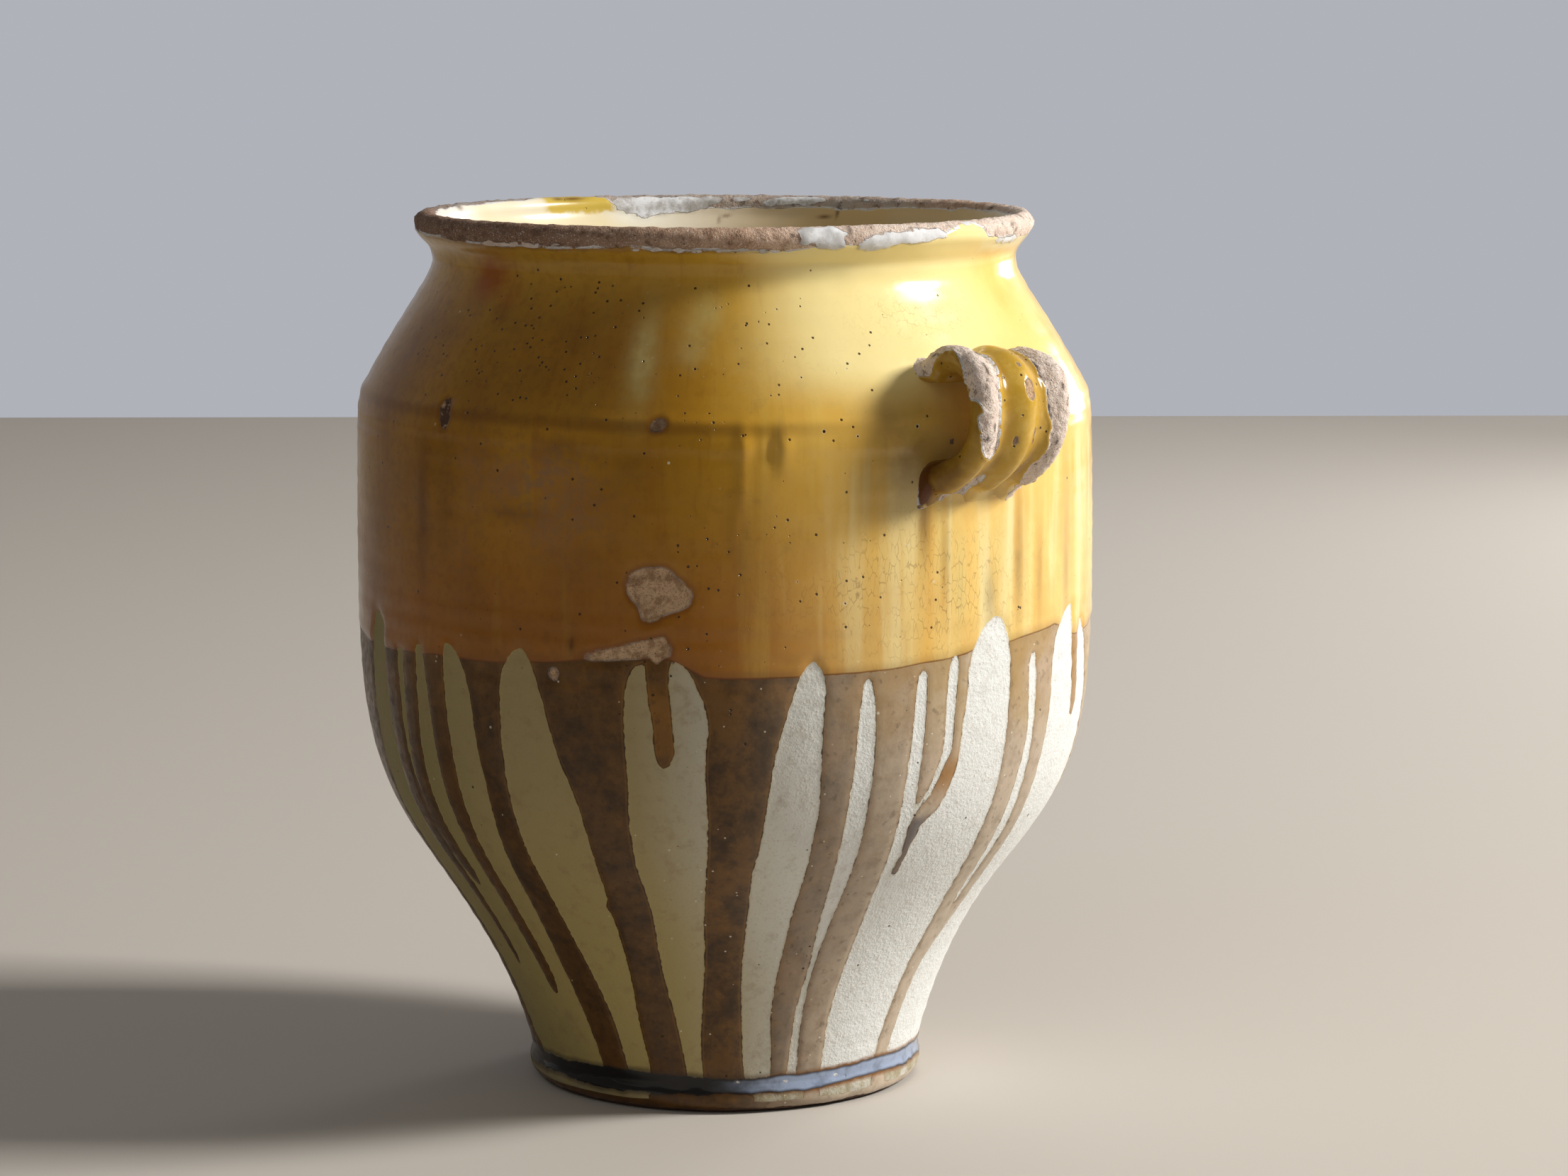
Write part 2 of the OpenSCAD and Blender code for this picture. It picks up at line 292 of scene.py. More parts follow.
# the side that the photo doesn't show: where its gaps start and end, their widths and how often each comes
unseenSide = {"seed": 417, "from": 81.5, "lastStart": 276, "to": 281,
              "widths": [3.2, 5.0, 8.5, 13.0], "howOften": [0.3, 0.3, 0.25, 0.15]}


def rounded(outline, times=2):
    # a closed outline with its corners cut off, so that its sides run smoothly
    line = np.asarray(outline, float)
    for _ in range(times):
        after = np.roll(line, -1, axis=0)
        line = np.stack([0.75 * line + 0.25 * after, 0.25 * line + 0.75 * after], 1).reshape(-1, 2)
    return line


def fromRows(rows):
    # rows of height, left and right turned into a closed outline: up the left side, down the right
    left = [(a, z) for z, a, _ in reversed(rows)]
    right = [(b, z) for z, a, b in rows if b > a]
    return rounded(left + right)


def edgeAt(line, angle):
    # value at an angle of an edge that closes round the pot, given as rows of angle and value
    bearing, value = np.array(line, float).T
    order = np.argsort(bearing % 360)
    return np.interp(angle % 360, (bearing % 360)[order], value[order], period=360)


def depthIn(outline, angle, height, radius, reach=edgeReach):
    # millimetres from the edge of a closed outline of angle and height, positive inside, at most reach
    depth = np.full(angle.shape, -reach)
    middle = outline[:, 0].mean()
    low, high = outline.min(axis=0), outline.max(axis=0)
    offset = wrapped(angle - middle)
    margin = np.degrees(reach / radius)
    near = np.flatnonzero((offset > low[0] - middle - margin) & (offset < high[0] - middle + margin)
                          & (height > low[1] - reach) & (height < high[1] + reach))
    if not len(near):
        return depth
    scale = np.radians(radius[near])[:, None]
    x, z = offset[near][:, None] * scale, height[near][:, None]
    ax, az = (outline[None, :, 0] - middle) * scale, outline[None, :, 1]
    bx, bz = np.roll(ax, -1, axis=1), np.roll(az, -1, axis=1)
    dx, dz = bx - ax, bz - az
    t = np.clip(((x - ax) * dx + (z - az) * dz) / (dx * dx + dz * dz + 1e-9), 0, 1)
    gap = np.sqrt(((x - ax - t * dx) ** 2 + (z - az - t * dz) ** 2).min(axis=1))
    crossing = ((az > z) != (bz > z)) & (x < ax + (z - az) * dx / np.where(dz == 0, 1e-9, dz))
    inside = crossing.sum(axis=1) % 2 == 1
    depth[near] = np.clip(np.where(inside, gap, -gap), -reach, reach)
    return depth


def deepestIn(outlines, angle, height, radius):
    # mm from the edge of the nearest of several closed outlines, positive inside
    deepest = np.full(angle.shape, -edgeReach)
    for outline in outlines:
        deepest = np.maximum(deepest, depthIn(outline, angle, height, radius))
    return deepest


def unseenGaps():
    # gaps and short runs for the side the photo doesn't show, drawn from a fixed seed
    s = unseenSide
    pick = np.random.default_rng(s["seed"])
    gaps, runs = [], []
    at = s["from"]
    while at < s["lastStart"]:
        width = pick.choice(s["widths"], p=s["howOften"]) * pick.uniform(0.85, 1.15)
        drip = pick.uniform(2.6, 7.5)
        if at + width > s["to"]:
            break
        top = pick.uniform(167, 182)
        drift, swing = pick.uniform(-2.5, 2.5), pick.uniform(-1.2, 1.2)
        rows = [(top, at + 0.5 * width, at + 0.5 * width)]
        for z in np.linspace(top - 2.5, 10, 13):
            opening = min(1.0, 0.35 + (top - z) / 14)
            bend = drift * (1 - z / top) + swing * math.sin(z / 31 + at)
            wide = width * opening * (0.86 + 0.16 * math.sin(z / 23 + 2 * at))
            rows.append((z, at + 0.5 * (width - wide) + bend, at + 0.5 * (width + wide) + bend))
        gaps.append(fromRows(rows))
        if width > 8:
            middle = at + width * pick.uniform(0.35, 0.6)
            thick, end = pick.uniform(2.2, 3.6), pick.uniform(50, 130)
            rows = [(z, middle - thick * (0.5 + 0.1 * math.sin(z / 17)) + drift * (1 - z / top),
                     middle + thick * (0.5 + 0.1 * math.sin(z / 13)) + drift * (1 - z / top))
                    for z in np.linspace(top + 6, end, 9)]
            tip = 0.5 * (rows[-1][1] + rows[-1][2])
            runs.append((pick.uniform(0.1, 0.7), fromRows(rows + [(end - 4, tip, tip)])))
        at += width + drip
    return gaps, runs


# the body mesh: rings of points from the underside out, up, over the lip and down to the floor inside

bodyRings = {
    "wallColumns": 552, "shoulderColumns": 276, "lipColumns": 552, "insideColumns": 138,
    "underRadii": [0, 20, 36, 50, 57],
    "wallSteps": [(0, 1.0), (17, 1.2), (24, 2.6), (60, 4.0), (148, 4.0), (158, 2.0), (184, 2.0), (196, 3.2),
                  (240, 3.2), (247, 1.2), (258, 1.2), (262, 2.4)],  # height, mm from ring to ring
    "shoulderStep": 3.0, "lipStep": 1.35, "insideStep": 4.4,
}


def ringList():
    # every ring as radius, height, number of points and the direction its surface faces
    def even(line, step):
        # points of a line at a step that changes with height
        run = lengths(line)
        fine = np.linspace(0, run[-1], 3000)
        z = np.interp(fine, run, line[:, 1])
        count = np.r_[0, np.cumsum(np.diff(fine) / step(0.5 * (z[1:] + z[:-1])))]
        at = np.interp(np.linspace(0, count[-1], int(round(count[-1])) + 1), count, fine)
        return np.stack([np.interp(at, run, line[:, k]) for k in (0, 1)], -1)

    b = bodyRings
    heights, steps = np.array(b["wallSteps"]).T
    foot = even(np.vstack([potLines["foot"], potLines["wall"][1:]]), lambda z: np.interp(z, heights, steps))
    shoulder = even(potLines["shoulder"], lambda z: b["shoulderStep"] + 0 * z)
    lip = spaced(potLines["lip"], b["lipStep"])
    inside = spaced(potLines["inside"], b["insideStep"])
    under = np.array([[r, 0.0] for r in b["underRadii"]])
    wall, lipCount, middle, low = b["wallColumns"], b["lipColumns"], b["shoulderColumns"], b["insideColumns"]
    # points, how many columns, and the region: 0 underside, 1 wall, 2 shoulder, 3 lip, 4 inside
    parts = [(under[:1], 1, 0), (under[1:3], low, 0), (under[3:4], middle, 0), (under[4:], wall, 0),
             (foot, wall, 1), (shoulder[1:-1], middle, 2), (lip, lipCount, 3),
             (inside[1:3], middle, 4), (inside[3:-1], low, 4), (inside[-1:], 1, 4)]
    points = np.vstack([p for p, _, _ in parts])
    counts = np.concatenate([[n] * len(p) for p, n, _ in parts])
    region = np.concatenate([[k] * len(p) for p, _, k in parts])
    way = np.gradient(points, axis=0)
    way /= np.hypot(*way.T)[:, None]
    way[0] = way[-1] = [1, 0]
    facing = np.stack([way[:, 1], -way[:, 0]], -1)
    facing[-1] = [0, 1]
    return points, counts, region, lengths(points), facing


def bodyFaces(counts):
    # faces between neighbouring rings: quads, or five-sided where one ring has twice as many points
    starts = np.r_[0, np.cumsum(counts)]
    faces = []
    for k in range(len(counts) - 1):
        a, b, m, n = starts[k], starts[k + 1], counts[k], counts[k + 1]
        j = np.arange(min(m, n) if min(m, n) > 1 else max(m, n))
        low, lowNext, high, highNext = a + j, a + (j + 1) % m, b + j, b + (j + 1) % n
        if m == n:
            corners = [low, lowNext, highNext, high]
        elif m == 1:
            corners = [a + 0 * j, highNext, high]
        elif n == 1:
            corners = [low, lowNext, b + 0 * j]
        elif n == 2 * m:
            corners = [low, lowNext, b + (2 * j + 2) % n, b + 2 * j + 1, b + 2 * j]
        else:
            corners = [a + 2 * j, a + 2 * j + 1, a + (2 * j + 2) % m, highNext, high]
        faces += np.stack(corners, -1).tolist()
    return faces


ringPoints, ringCounts, ringRegion, ringRun, ringFacing = ringList()
owner = np.repeat(np.arange(len(ringCounts)), ringCounts)
column = np.concatenate([np.arange(n) for n in ringCounts])
turn = 360.0 * column / ringCounts[owner]
radius, height = ringPoints[owner, 0], ringPoints[owner, 1]
region, run = ringRegion[owner], ringRun[owner]
side = wrapped(turn - viewTurn)  # angle from the photographed side
share = turn / 360.0
crest = ringRun[np.argmax(ringPoints[:, 1])]
overLip = crest - run  # distance over the lip from its top, positive on the outer side
outside = (region >= 1) & (region <= 2) | (region == 3) & (overLip > 0)
print("pattern")


def roundNoise(cells, seed):
    # soft noise that changes round the pot only
    return softNoise(share, 0 * share, cells, 1, seed)


def glazePattern():
    # for each point: mm inside the brown runs, how golden they are, mm inside the yellow glaze and the chips
    lower = np.flatnonzero(outside & (height > 4) & (height < 205))
    angle, z, r = side[lower], height[lower], radius[lower]
    unseen, unseenRuns = unseenGaps()
    gaps = [fromRows(rows) for rows in creamGaps.values()] + [rounded(o) for o in broadGaps.values()] + unseen
    part = -deepestIn(gaps, angle, z, r)
    runs = [(golden, fromRows(rows)) for golden, rows in runsInGaps.values()] + unseenRuns
    glow = ease(angle, 0, 34) * ease(92 - angle, 0, 20) * (0.08 + 0.3 * ease(z, 120, 166))
    for golden, outline in runs:
        depth = depthIn(outline, angle, z, r)
        part = np.maximum(part, depth)
        glow = np.where(depth > -0.8, golden, glow)
    onBead = deepestIn([rounded(outline, 1) for outline in beadRuns], angle, z, r)
    brown, warm = np.full(len(side), edgeReach), np.zeros(len(side))
    brown[lower] = np.where(z < 9.4, onBead, part)
    warm[lower] = glow
    edgeHeight = edgeAt(yellowEdge, side) + 0.5 * roundNoise(70, 31)
    yellow = np.where(outside, np.clip(height - edgeHeight, -edgeReach, edgeReach), edgeReach)
    yellow = np.where(region == 0, -edgeReach, yellow)
    chip = np.full(len(side), -edgeReach)
    middle = np.flatnonzero(outside & (height < 275))
    chip[middle] = deepestIn([rounded(o) for o in chips.values()], side[middle], height[middle], radius[middle])
    return brown, warm, yellow, chip


# how far down outside and inside the glaze of the lip is missing, as angle and mm over the lip from its top
lipEdges = {
    "outside": [(-90, 9.5), (-80, 9), (-60, 10.5), (-45, 11.2), (-20, 10.2), (0, 11), (12, 11.6),
                (16, 10.2), (24, 9.6), (34, 8.6), (41, 7.8), (45, 4.8), (49, 3.2), (52.5, 4.6), (55, 8.4),
                (60, 9.6), (68, 10.5), (80, 11.5), (110, 9), (150, 10.5), (200, 9), (240, 11), (269, 9.5)],
    "inside": [(-90, 3), (-60, 2), (-30, 2.5), (0, 4), (40, 3), (70, 4.5), (90, 4), (116, 5), (150, 7.5),
               (180, 8), (203, 6.5), (206.5, 2), (212, -1), (221, -1), (226, 2.5), (269, 3)],
}

# white slip left on the lip, as closed outlines of angle and mm over the lip from its top
lipFlakes = [
    [(13, 3.4), (14.6, 1.2), (17.4, 1.8), (19.4, 0.8), (21, 2.6), (22, 5), (21.2, 7), (22, 9.4),
     (20.6, 11.2), (17, 10.6), (15.4, 8), (13.6, 8.4), (13.8, 6)],
    [(23.4, 11.8), (24.5, 8.5), (27, 6.2), (31, 4.8), (36, 4), (40, 4.2), (43, 6), (43.6, 8.6), (41, 8.4),
     (38, 9.4), (33, 10), (29, 11), (26, 12)],
    [(44, 6.4), (45.4, 3.8), (47.6, 2.4), (51, 2.4), (53.6, 4), (54.4, 6.6), (52, 4.6), (48, 3.6),
     (46, 5.8)],
    [(-52, 9.8), (-44, 9.6), (-34, 9.3), (-27, 9.4), (-25, 10.4), (-34, 11.1), (-49, 11.2)],
    [(-22, 10.5), (-12, 10.2), (-3, 10.7), (6, 10.9), (9, 11.5), (0, 11.7), (-11, 11.2), (-20, 11)],
    [(58, 9.6), (61, 10.6), (66, 9), (70, 10.2), (71, 12.6), (66, 13), (60, 12.6)],
    [(180, -2.6), (186, -2), (196, -1.6), (203, -2.4), (205, -5), (203, -8.5), (197, -11.6), (190, -10),
     (184, -7.6), (180, -6)],
    [(159, -2.4), (165, -1.6), (171, -2.6), (173, -5.4), (169, -7.2), (163, -6.4), (158, -4.6)],
    [(173.5, -3), (177.6, -2.6), (178.6, -5), (175, -5.8)],
    [(139, -3), (149, -2.4), (153, -3.6), (147, -4.8), (140, -4.4)],
    [(168, 5), (178, 3), (186, 4.6), (192, 3.4), (196, 6), (186, 8), (172, 8)],
    [(206, 8), (214, 7.4), (222, 9), (218, 11.6), (208, 11.4)],
    [(240, 5), (251, 4.6), (256, 8), (252, 11), (241, 10.4)],
    [(112, 5), (121, 4.6), (126, 8), (122, 11), (111, 10.4)],
]

# dark marks on the lip: angle, mm over the lip from its top, half width in degrees, half height in mm
lipMarks = [(86, -2.5, 1.8, 2.0), (155.2, -8.6, 0.4, 2.4), (158.0, -10.6, 1.4, 0.6),
            (213.5, -2.6, 3.0, 1.4), (217, -2.2, 1.4, 1.2), (22.6, 4, 0.4, 2.6), (-20, 4, 0.6, 0.8),
            (-35, 6, 0.7, 0.6), (8, 2, 0.5, 0.5), (66, 5, 1.0, 0.8), (74, 3, 0.8, 1.2), (250, -3, 1.6, 1.6),
            (110, -3, 1.4, 1.6), (181, -12.6, 0.3, 1.6), (179.6, -11, 0.9, 0.4)]


def lipPattern():
    # mm inside the bare clay of the lip and inside the white slip left on it, for each point of the body
    near = np.flatnonzero(np.abs(overLip) < 30)
    angle, over = side[near], overLip[near]
    up = (over + 30) / 60
    ragged = layeredNoise(share[near], up, 90, 26, 52)
    bare, flake = np.full(len(side), -edgeReach), np.full(len(side), -edgeReach)
    band = np.minimum(edgeAt(lipEdges["outside"], angle) - over, over + edgeAt(lipEdges["inside"], angle))
    bare[near] = np.clip(band + 1.1 * ragged, -edgeReach, edgeReach)
    lipReach = np.full(len(near), potShape["lipRadius"] - 3)
    white = deepestIn([rounded(outline) for outline in lipFlakes], angle, over, lipReach)
    flake[near] = np.clip(white + 1.3 * layeredNoise(share[near], up, 130, 34, 61) - 0.2, -edgeReach, edgeReach)
    return bare, flake


# patches in the yellow glaze: angle, height, half width in degrees, half height in mm, strength
# in brownPatches the ones at 30.4 and 27 degrees are painted shadow of the front strap on the wall, left of it
# and below it
brownPatches = [(-23, 178.5, 0.5, 2.5, 1.2), (-49.2, 300.5, 4.6, 6.8, 2.0), (-43, 292, 2.5, 8, 0.6),
                (-64, 262, 8, 24, 0.45), (-51.6, 216, 1.5, 26, 0.7), (-46, 222, 2.0, 26, 0.35),
                (-68, 205, 5, 34, 0.4), (-24, 245, 5, 4, 0.7), (-14, 242, 2.5, 4, 0.6),
                (-32, 222, 5, 2.2, 0.7), (-36, 268, 12, 16, 0.35), (-22, 262, 8, 10, 0.35),
                (-40, 196, 3, 16, 0.3), (2, 216, 1.6, 26, 0.25), (30.4, 221, 1.2, 14, 0.8),
                (49.5, 208, 1.1, 26, 0.75), (27, 243, 6.5, 19, 0.8), (55, 197, 0.9, 18, 0.5),
                (43, 190, 1.2, 12, 0.5), (34.2, 205, 0.8, 18, 0.35), (64, 205, 1.4, 30, 0.5),
                (120, 240, 14, 26, 0.4), (160, 278, 6, 20, 0.6), (205, 220, 9, 30, 0.5),
                (250, 262, 11, 24, 0.5)]
palePatches = [(-13.2, 272, 2.2, 15, 1.0), (-5.3, 281, 2.6, 8, 0.6), (3, 276, 4, 14, 0.3),
               (-3, 290, 3, 6, 0.5), (33, 287, 9, 9, 0.35), (18, 292, 8, 5, 0.4), (34, 214, 1.2, 14, 0.45),
               (37, 196, 1.0, 16, 0.5), (45, 206, 1.3, 18, 0.35), (140, 262, 4, 20, 0.6),
               (188, 244, 5, 26, 0.5), (232, 286, 6, 14, 0.5)]
pinkPatches = [(-28, 234, 8, 10, 1.1), (-25, 222, 6, 11, 0.8), (-40, 236, 3, 16, 0.4),
               (-43, 205, 2.0, 16, 0.3), (-66, 268, 7, 30, 0.2), (-62, 225, 6, 30, 0.15),
               (175, 205, 8, 14, 0.6)]
speckPatches = [(-38, 279, 15, 13, 1.0), (-30, 262, 14, 9, 0.6), (-2, 252, 9, 5, 0.6),
                (14, 270, 12, 16, 0.25), (3, 200, 22, 24, 0.25), (-20, 292, 20, 6, 0.4),
                (150, 270, 20, 16, 0.7), (238, 280, 16, 14, 0.8)]
crackPatches = [(30, 194, 26, 24, 1.0), (38, 288, 12, 9, 0.8), (-8, 192, 12, 12, 0.35),
                (5, 268, 16, 12, 0.25), (120, 200, 30, 26, 0.8), (210, 198, 24, 20, 0.9)]


def ovalFar(angle, level, wide, high, levels):
    # squared distance from the middle of an oval on the wall, 1 on its rim
    return (wrapped(side - angle) / wide) ** 2 + ((levels - level) / high) ** 2


def patchField(patches):
    # the strongest of some soft-edged ovals at each point: strength * exp(-0.9 * squared distance)
    total = np.zeros(len(side))
    for angle, z, wide, high, strength in patches:
        total = np.maximum(total, strength * np.exp(-0.9 * ovalFar(angle, z, wide, high, height)))
    return np.where(outside, total, 0)


def lipMarkField():
    # the dark marks of the lip, 1 in the middle of each
    total = np.zeros(len(side))
    for angle, over, wide, high in lipMarks:
        total = np.maximum(total, np.exp(-ovalFar(angle, over, wide, high, overLip)))
    return total


brown, warm, yellow, chip = glazePattern()
lipBare, lipFlake = lipPattern()

# the blob at the end of the reddish run is grey, its middle golden; the tongue ends dark
reddish = (np.abs(side - 35.6) < 5.9) & (height < 185) & (warm == runsInGaps["reddish"][0])
blobTone = 0.2 + 0.65 * np.exp(-((height - 130) / 7) ** 2) - 1.15 * ease(118 - height, 0, 6)
warm = np.where(reddish, blobTone, warm)
tongue = (np.abs(side + 9.5) < 3.5) & (warm == runsInGaps["tongue"][0]) & (height < 184)
warm = np.where(tongue, 0.2 + 0.35 * ease(172 - height, 0, 12) - 0.5 * ease(143 - height, 0, 7), warm)

# the band of pooled glaze above the foot bead, between two edges given as angle and height
bandTop = [(-76, 12.8), (-56, 12.6), (-37.5, 13.7), (-19, 13.3), (-7, 13.1), (2.4, 12.5), (14, 13),
           (28, 13.2), (42, 13.9), (59, 14.2), (82, 13.8), (120, 13), (170, 13.8), (230, 12.8)]
bandFoot = [(-76, 7.5), (-56, 8.4), (-43, 7.3), (-28, 7.5), (-17, 7.7), (-7, 7.9), (2.4, 8), (28, 8),
            (42, 9.2), (59, 9.2), (120, 8), (170, 9), (230, 7.6)]
bandSpread = {"top": 0.8, "foot": -0.7}  # mm that the pooled glaze runs past those edges


def bandEdge(line, spread, seed):
    # height of one edge of the pooled glaze round the pot, a little uneven
    return edgeAt(line, side) + spread + 0.45 * roundNoise(60, seed) + 0.25 * roundNoise(140, seed + 1)


poolTop, poolFoot = bandEdge(bandTop, bandSpread["top"], 7), bandEdge(bandFoot, bandSpread["foot"], 5)
poolDepth = np.clip(np.minimum(height - poolFoot, poolTop - height), -edgeReach, edgeReach)
pool = np.where(outside & (height < 30), poolDepth, -edgeReach)
underDepth = np.clip(1.6 - height + 0.6 * roundNoise(60, 9), -edgeReach, edgeReach)
under = np.where(region <= 1, underDepth, -edgeReach)
bare = np.maximum(np.maximum(lipBare, chip), under)
rough = np.where((region == 3) | (height < 3), 1.0, 0.0)

relief = {  # mm that each unevenness stands out or is sunk
    "wander": 0.45, "throwingRings": 0.10, "brownRun": 0.40, "yellowGlaze": 0.35, "skin": 0.12, "bump": 0.25,
    "chip": 0.75, "wornLip": 0.42, "lipGrain": 0.45, "flake": 0.4, "footGrain": 0.3, "pool": 0.3,
    "ringGap": 1.25, "ringsInside": 1.8,  # how close the throwing rings are, and how much stronger inside
    "glazeEnds": 8.5,  # mm into the bare lip where the thickness of the glaze ends
}
# swellings and hollows of the wall: angle, height, half width in degrees, half height, mm outwards
wallBumps = [(-78, 68, 24, 32, 2.5), (2.6, 248, 0.9, 6, 1.0), (8.6, 247, 1.3, 6, 0.7), (5.0, 246, 1.0, 5, -0.5),
             (6.8, 246, 0.8, 5, -1.4), (2.6, 234, 0.7, 9, 0.5), (1.4, 222, 0.7, 9, 0.35),
             (-51, 228, 2.5, 9, 0.5)]


def bodyRelief():
    # how far each point stands out from the turned profile, in mm
    s = relief
    up = height / potShape["height"]
    lift = s["wander"] * softNoise(share, up, 3, 2, 71)
    phase = 0.9 * softNoise(share, up, 2, 12, 73) + 2 * math.pi * share
    rings = s["throwingRings"] * np.sin(run / s["ringGap"] + phase)
    lift += rings * np.where(region == 4, s["ringsInside"], 1.0)
    onWall = outside & (height > 9)
    runs = ease(brown, -0.3, 1.5)
    glazed = s["brownRun"] * (runs - 1) + s["yellowGlaze"] * ease(yellow, -0.3, 2.0) * runs
    glazed = glazed * ease(s["glazeEnds"] - lipBare, 0, 1) * ease(height, 12.5, 17)
    lift += np.where(onWall & (region <= 3), glazed, 0)
    lift += np.where(onWall, s["skin"] * layeredNoise(share, up, 70, 60, 83), 0)
    groove = np.exp(-((height - 252.4) / 1.6) ** 2) * (0.35 + 0.25 * roundNoise(6, 87))
    bump = np.exp(-((height - 256) / 1.8) ** 2) * s["bump"]
    lift += np.where(outside, bump - groove, 0)
    for angle, z, wide, high, rise in wallBumps:
        lift += np.where(outside, rise * np.exp(-ovalFar(angle, z, wide, high, height)), 0)
    lift -= s["chip"] * ease(chip, -0.15, 0.6)
    grit = layeredNoise(share, (overLip + 30) / 60, 200, 34, 91)
    worn = s["lipGrain"] * grit * ease(lipBare, -0.5, 1.5) - s["wornLip"] * ease(lipBare, -0.2, 0.5)
    lift += np.where(np.abs(overLip) < 14, worn + s["flake"] * ease(lipFlake, -0.2, 0.5), 0)
    footGrain = s["footGrain"] * layeredNoise(share, height / 9, 46, 3, 95)
    lift += np.where((height < 9) & (region == 1), footGrain, 0)
    lift += s["pool"] * ease(pool, -0.6, 1.2)
    lift *= ease(run, 60, 68)
    return np.where(ringCounts[owner] == 1, 0, lift)


lift = bodyRelief()
bearing = np.radians(turn)
flat = radius + ringFacing[owner, 0] * lift
lifted = np.maximum(height + ringFacing[owner, 1] * lift, 0)
bodyPoints = np.stack([flat * np.cos(bearing), flat * np.sin(bearing), lifted], -1)


def makePiece(name, points, faces, fields):
    # a smooth-shaded mesh in metres from points in mm, carrying named values at its points
    mesh = bpy.data.meshes.new(name)
    mesh.from_pydata((np.asarray(points) * mm).tolist(), [], faces)
    mesh.update()
    for key, values in fields.items():
        layer = mesh.attributes.new(key, "FLOAT", "POINT")
        layer.data.foreach_set("value", np.asarray(values, np.float32))
    mesh.polygons.foreach_set("use_smooth", np.ones(len(mesh.polygons), bool))
    piece = bpy.data.objects.new(name, mesh)
    bpy.context.scene.collection.objects.link(piece)
    return piece


body = makePiece("pot_body", bodyPoints, bodyFaces(ringCounts), {
    "brown_run": brown, "yellow_glaze": yellow, "bare_clay": bare, "white_slip": lipFlake, "foot_pool": pool,
    "golden": warm, "inside_glaze": np.where(~outside & (region >= 3), 1.0, 0.0), "rough_clay": rough,
    "brown_patch": np.maximum(patchField(brownPatches), lipMarkField()), "pale_patch": patchField(palePatches),
    "pink_patch": patchField(pinkPatches), "speck_patch": patchField(speckPatches),
    "crack_patch": patchField(crackPatches)})
print("body", len(body.data.vertices), sum(len(p.vertices) - 2 for p in body.data.polygons), "triangles")


# the two strap handles: middle line in the X-Z plane, from the shoulder out and down to the belly, sizes in mm

strapShape = {
    "reach": 25.0, "width": 45.0, "thickness": 10.0, "groove": 3.0, "drop": 41.0, "height": 47.0,
    "spread": 5.0, "topSpread": 0.4,  # mm that the lower end widens, and the upper end's share of that
    "ringStep": 0.62, "ridgePoints": 60, "rollPoints": 13, "underPoints": 16, "skirtRings": 7,
    "pressTop": 20, "pressFoot": 22,  # mm over which the ends are pressed on the wall
    "skirtTop": 4.5, "skirtFoot": 5.5, "sunk": 3.0,  # mm kept off each end for its skirt, mm that it goes in
    "shift": [(0, 3.3), (0.2, 2.2), (0.5, 0.8), (0.8, -0.6), (1, -2.4)],  # mm sideways at shares of the length
    "twist": 0.085, "twistAt": 17, "twistSoft": 12,
    "footOutline": [  # where the lower end runs out on the wall: mm across the section, mm sideways, mm up
        (-50, 0, 2), (-40, 0, 2), (-36, -0.4, 1.6), (-32, -1.0, 0.6), (-29, -1.2, -0.2), (-26.6, -1.7, -2.4),
        (-24.8, -3.6, -14.2), (-23.6, -2.8, -12.4), (-21.6, -1.2, -8), (-18, 0.2, -4.6), (-12, 0, -6.8),
        (-6, 0.3, -6.9), (0, 0, -5.4), (6, 0.3, -8.4), (12, 0.4, -9.2), (18, 0.6, -4.8), (22, 1.4, -3.4),
        (26, 2.2, -1.2), (29, 2.2, 0.4), (32, 1.5, 1.3), (36, 0.4, 1.8), (42, 0, 2), (54, 0, 2)],
}

# bare clay along the straps' rolls, as closed outlines of mm across from the middle and mm along
strapBare = {
    "left_roll": [(-14, -4), (-14, 4), (-12.5, 9), (-9.5, 14), (-8.2, 19), (-9.4, 23), (-9.8, 26.8),
                  (-12.6, 30), (-14.2, 32.5), (-13, 36), (-13, 38.6), (-13.6, 41), (-12.4, 45),
                  (-11.8, 48.6), (-10.8, 52), (-12.6, 54.6), (-15.5, 54.6), (-18.1, 53.2), (-20.9, 51.2),
                  (-22.1, 49.2), (-23.2, 46.1), (-24.3, 43), (-24.8, 40.6), (-22.8, 39.6), (-23, 38.2),
                  (-24.3, 36.7), (-25.4, 35.6), (-28.8, 35.2), (-31, 31), (-30, 27), (-27, 24.4),
                  (-24.6, 20.6), (-23.2, 17.4), (-23.2, 15.4), (-24.3, 13.8), (-26, 11.6), (-28, 9),
                  (-29.5, 6), (-29.5, -4)],
    "right_roll": [(16.4, 7.4), (19, 6.2), (25, 7), (29, 22), (29, 46), (26.5, 57), (23, 65), (21, 72),
                   (18.7, 76), (16, 72), (13, 66), (11.8, 61), (13, 57), (14.4, 53.5), (13.7, 50.6),
                   (12.9, 49), (13.7, 46.7), (13, 44.8), (11.8, 42.3), (11, 38.6), (11.2, 35), (10.5, 31.7),
                   (9.3, 29.9), (10.5, 26.8), (11, 23), (11.9, 18.7), (13, 13.1), (14.4, 9.4)],
    "low_left": [(-7.4, 63.6), (-10.5, 65.3), (-13.5, 67), (-15.5, 69.5), (-16.8, 72.5), (-17.5, 76),
                 (-18, 80), (-14, 80.4), (-8.8, 79), (-7, 77), (-5.6, 73), (-6, 68), (-6.6, 65)],
    "tail": [(-27, 77.2), (-24.6, 76.4), (-21.6, 77.4), (-20.4, 80.4), (-24, 82)],
    "low_right": [(13.4, 77), (19, 75.2), (23, 76), (21, 79.6), (15, 80.4)],
}
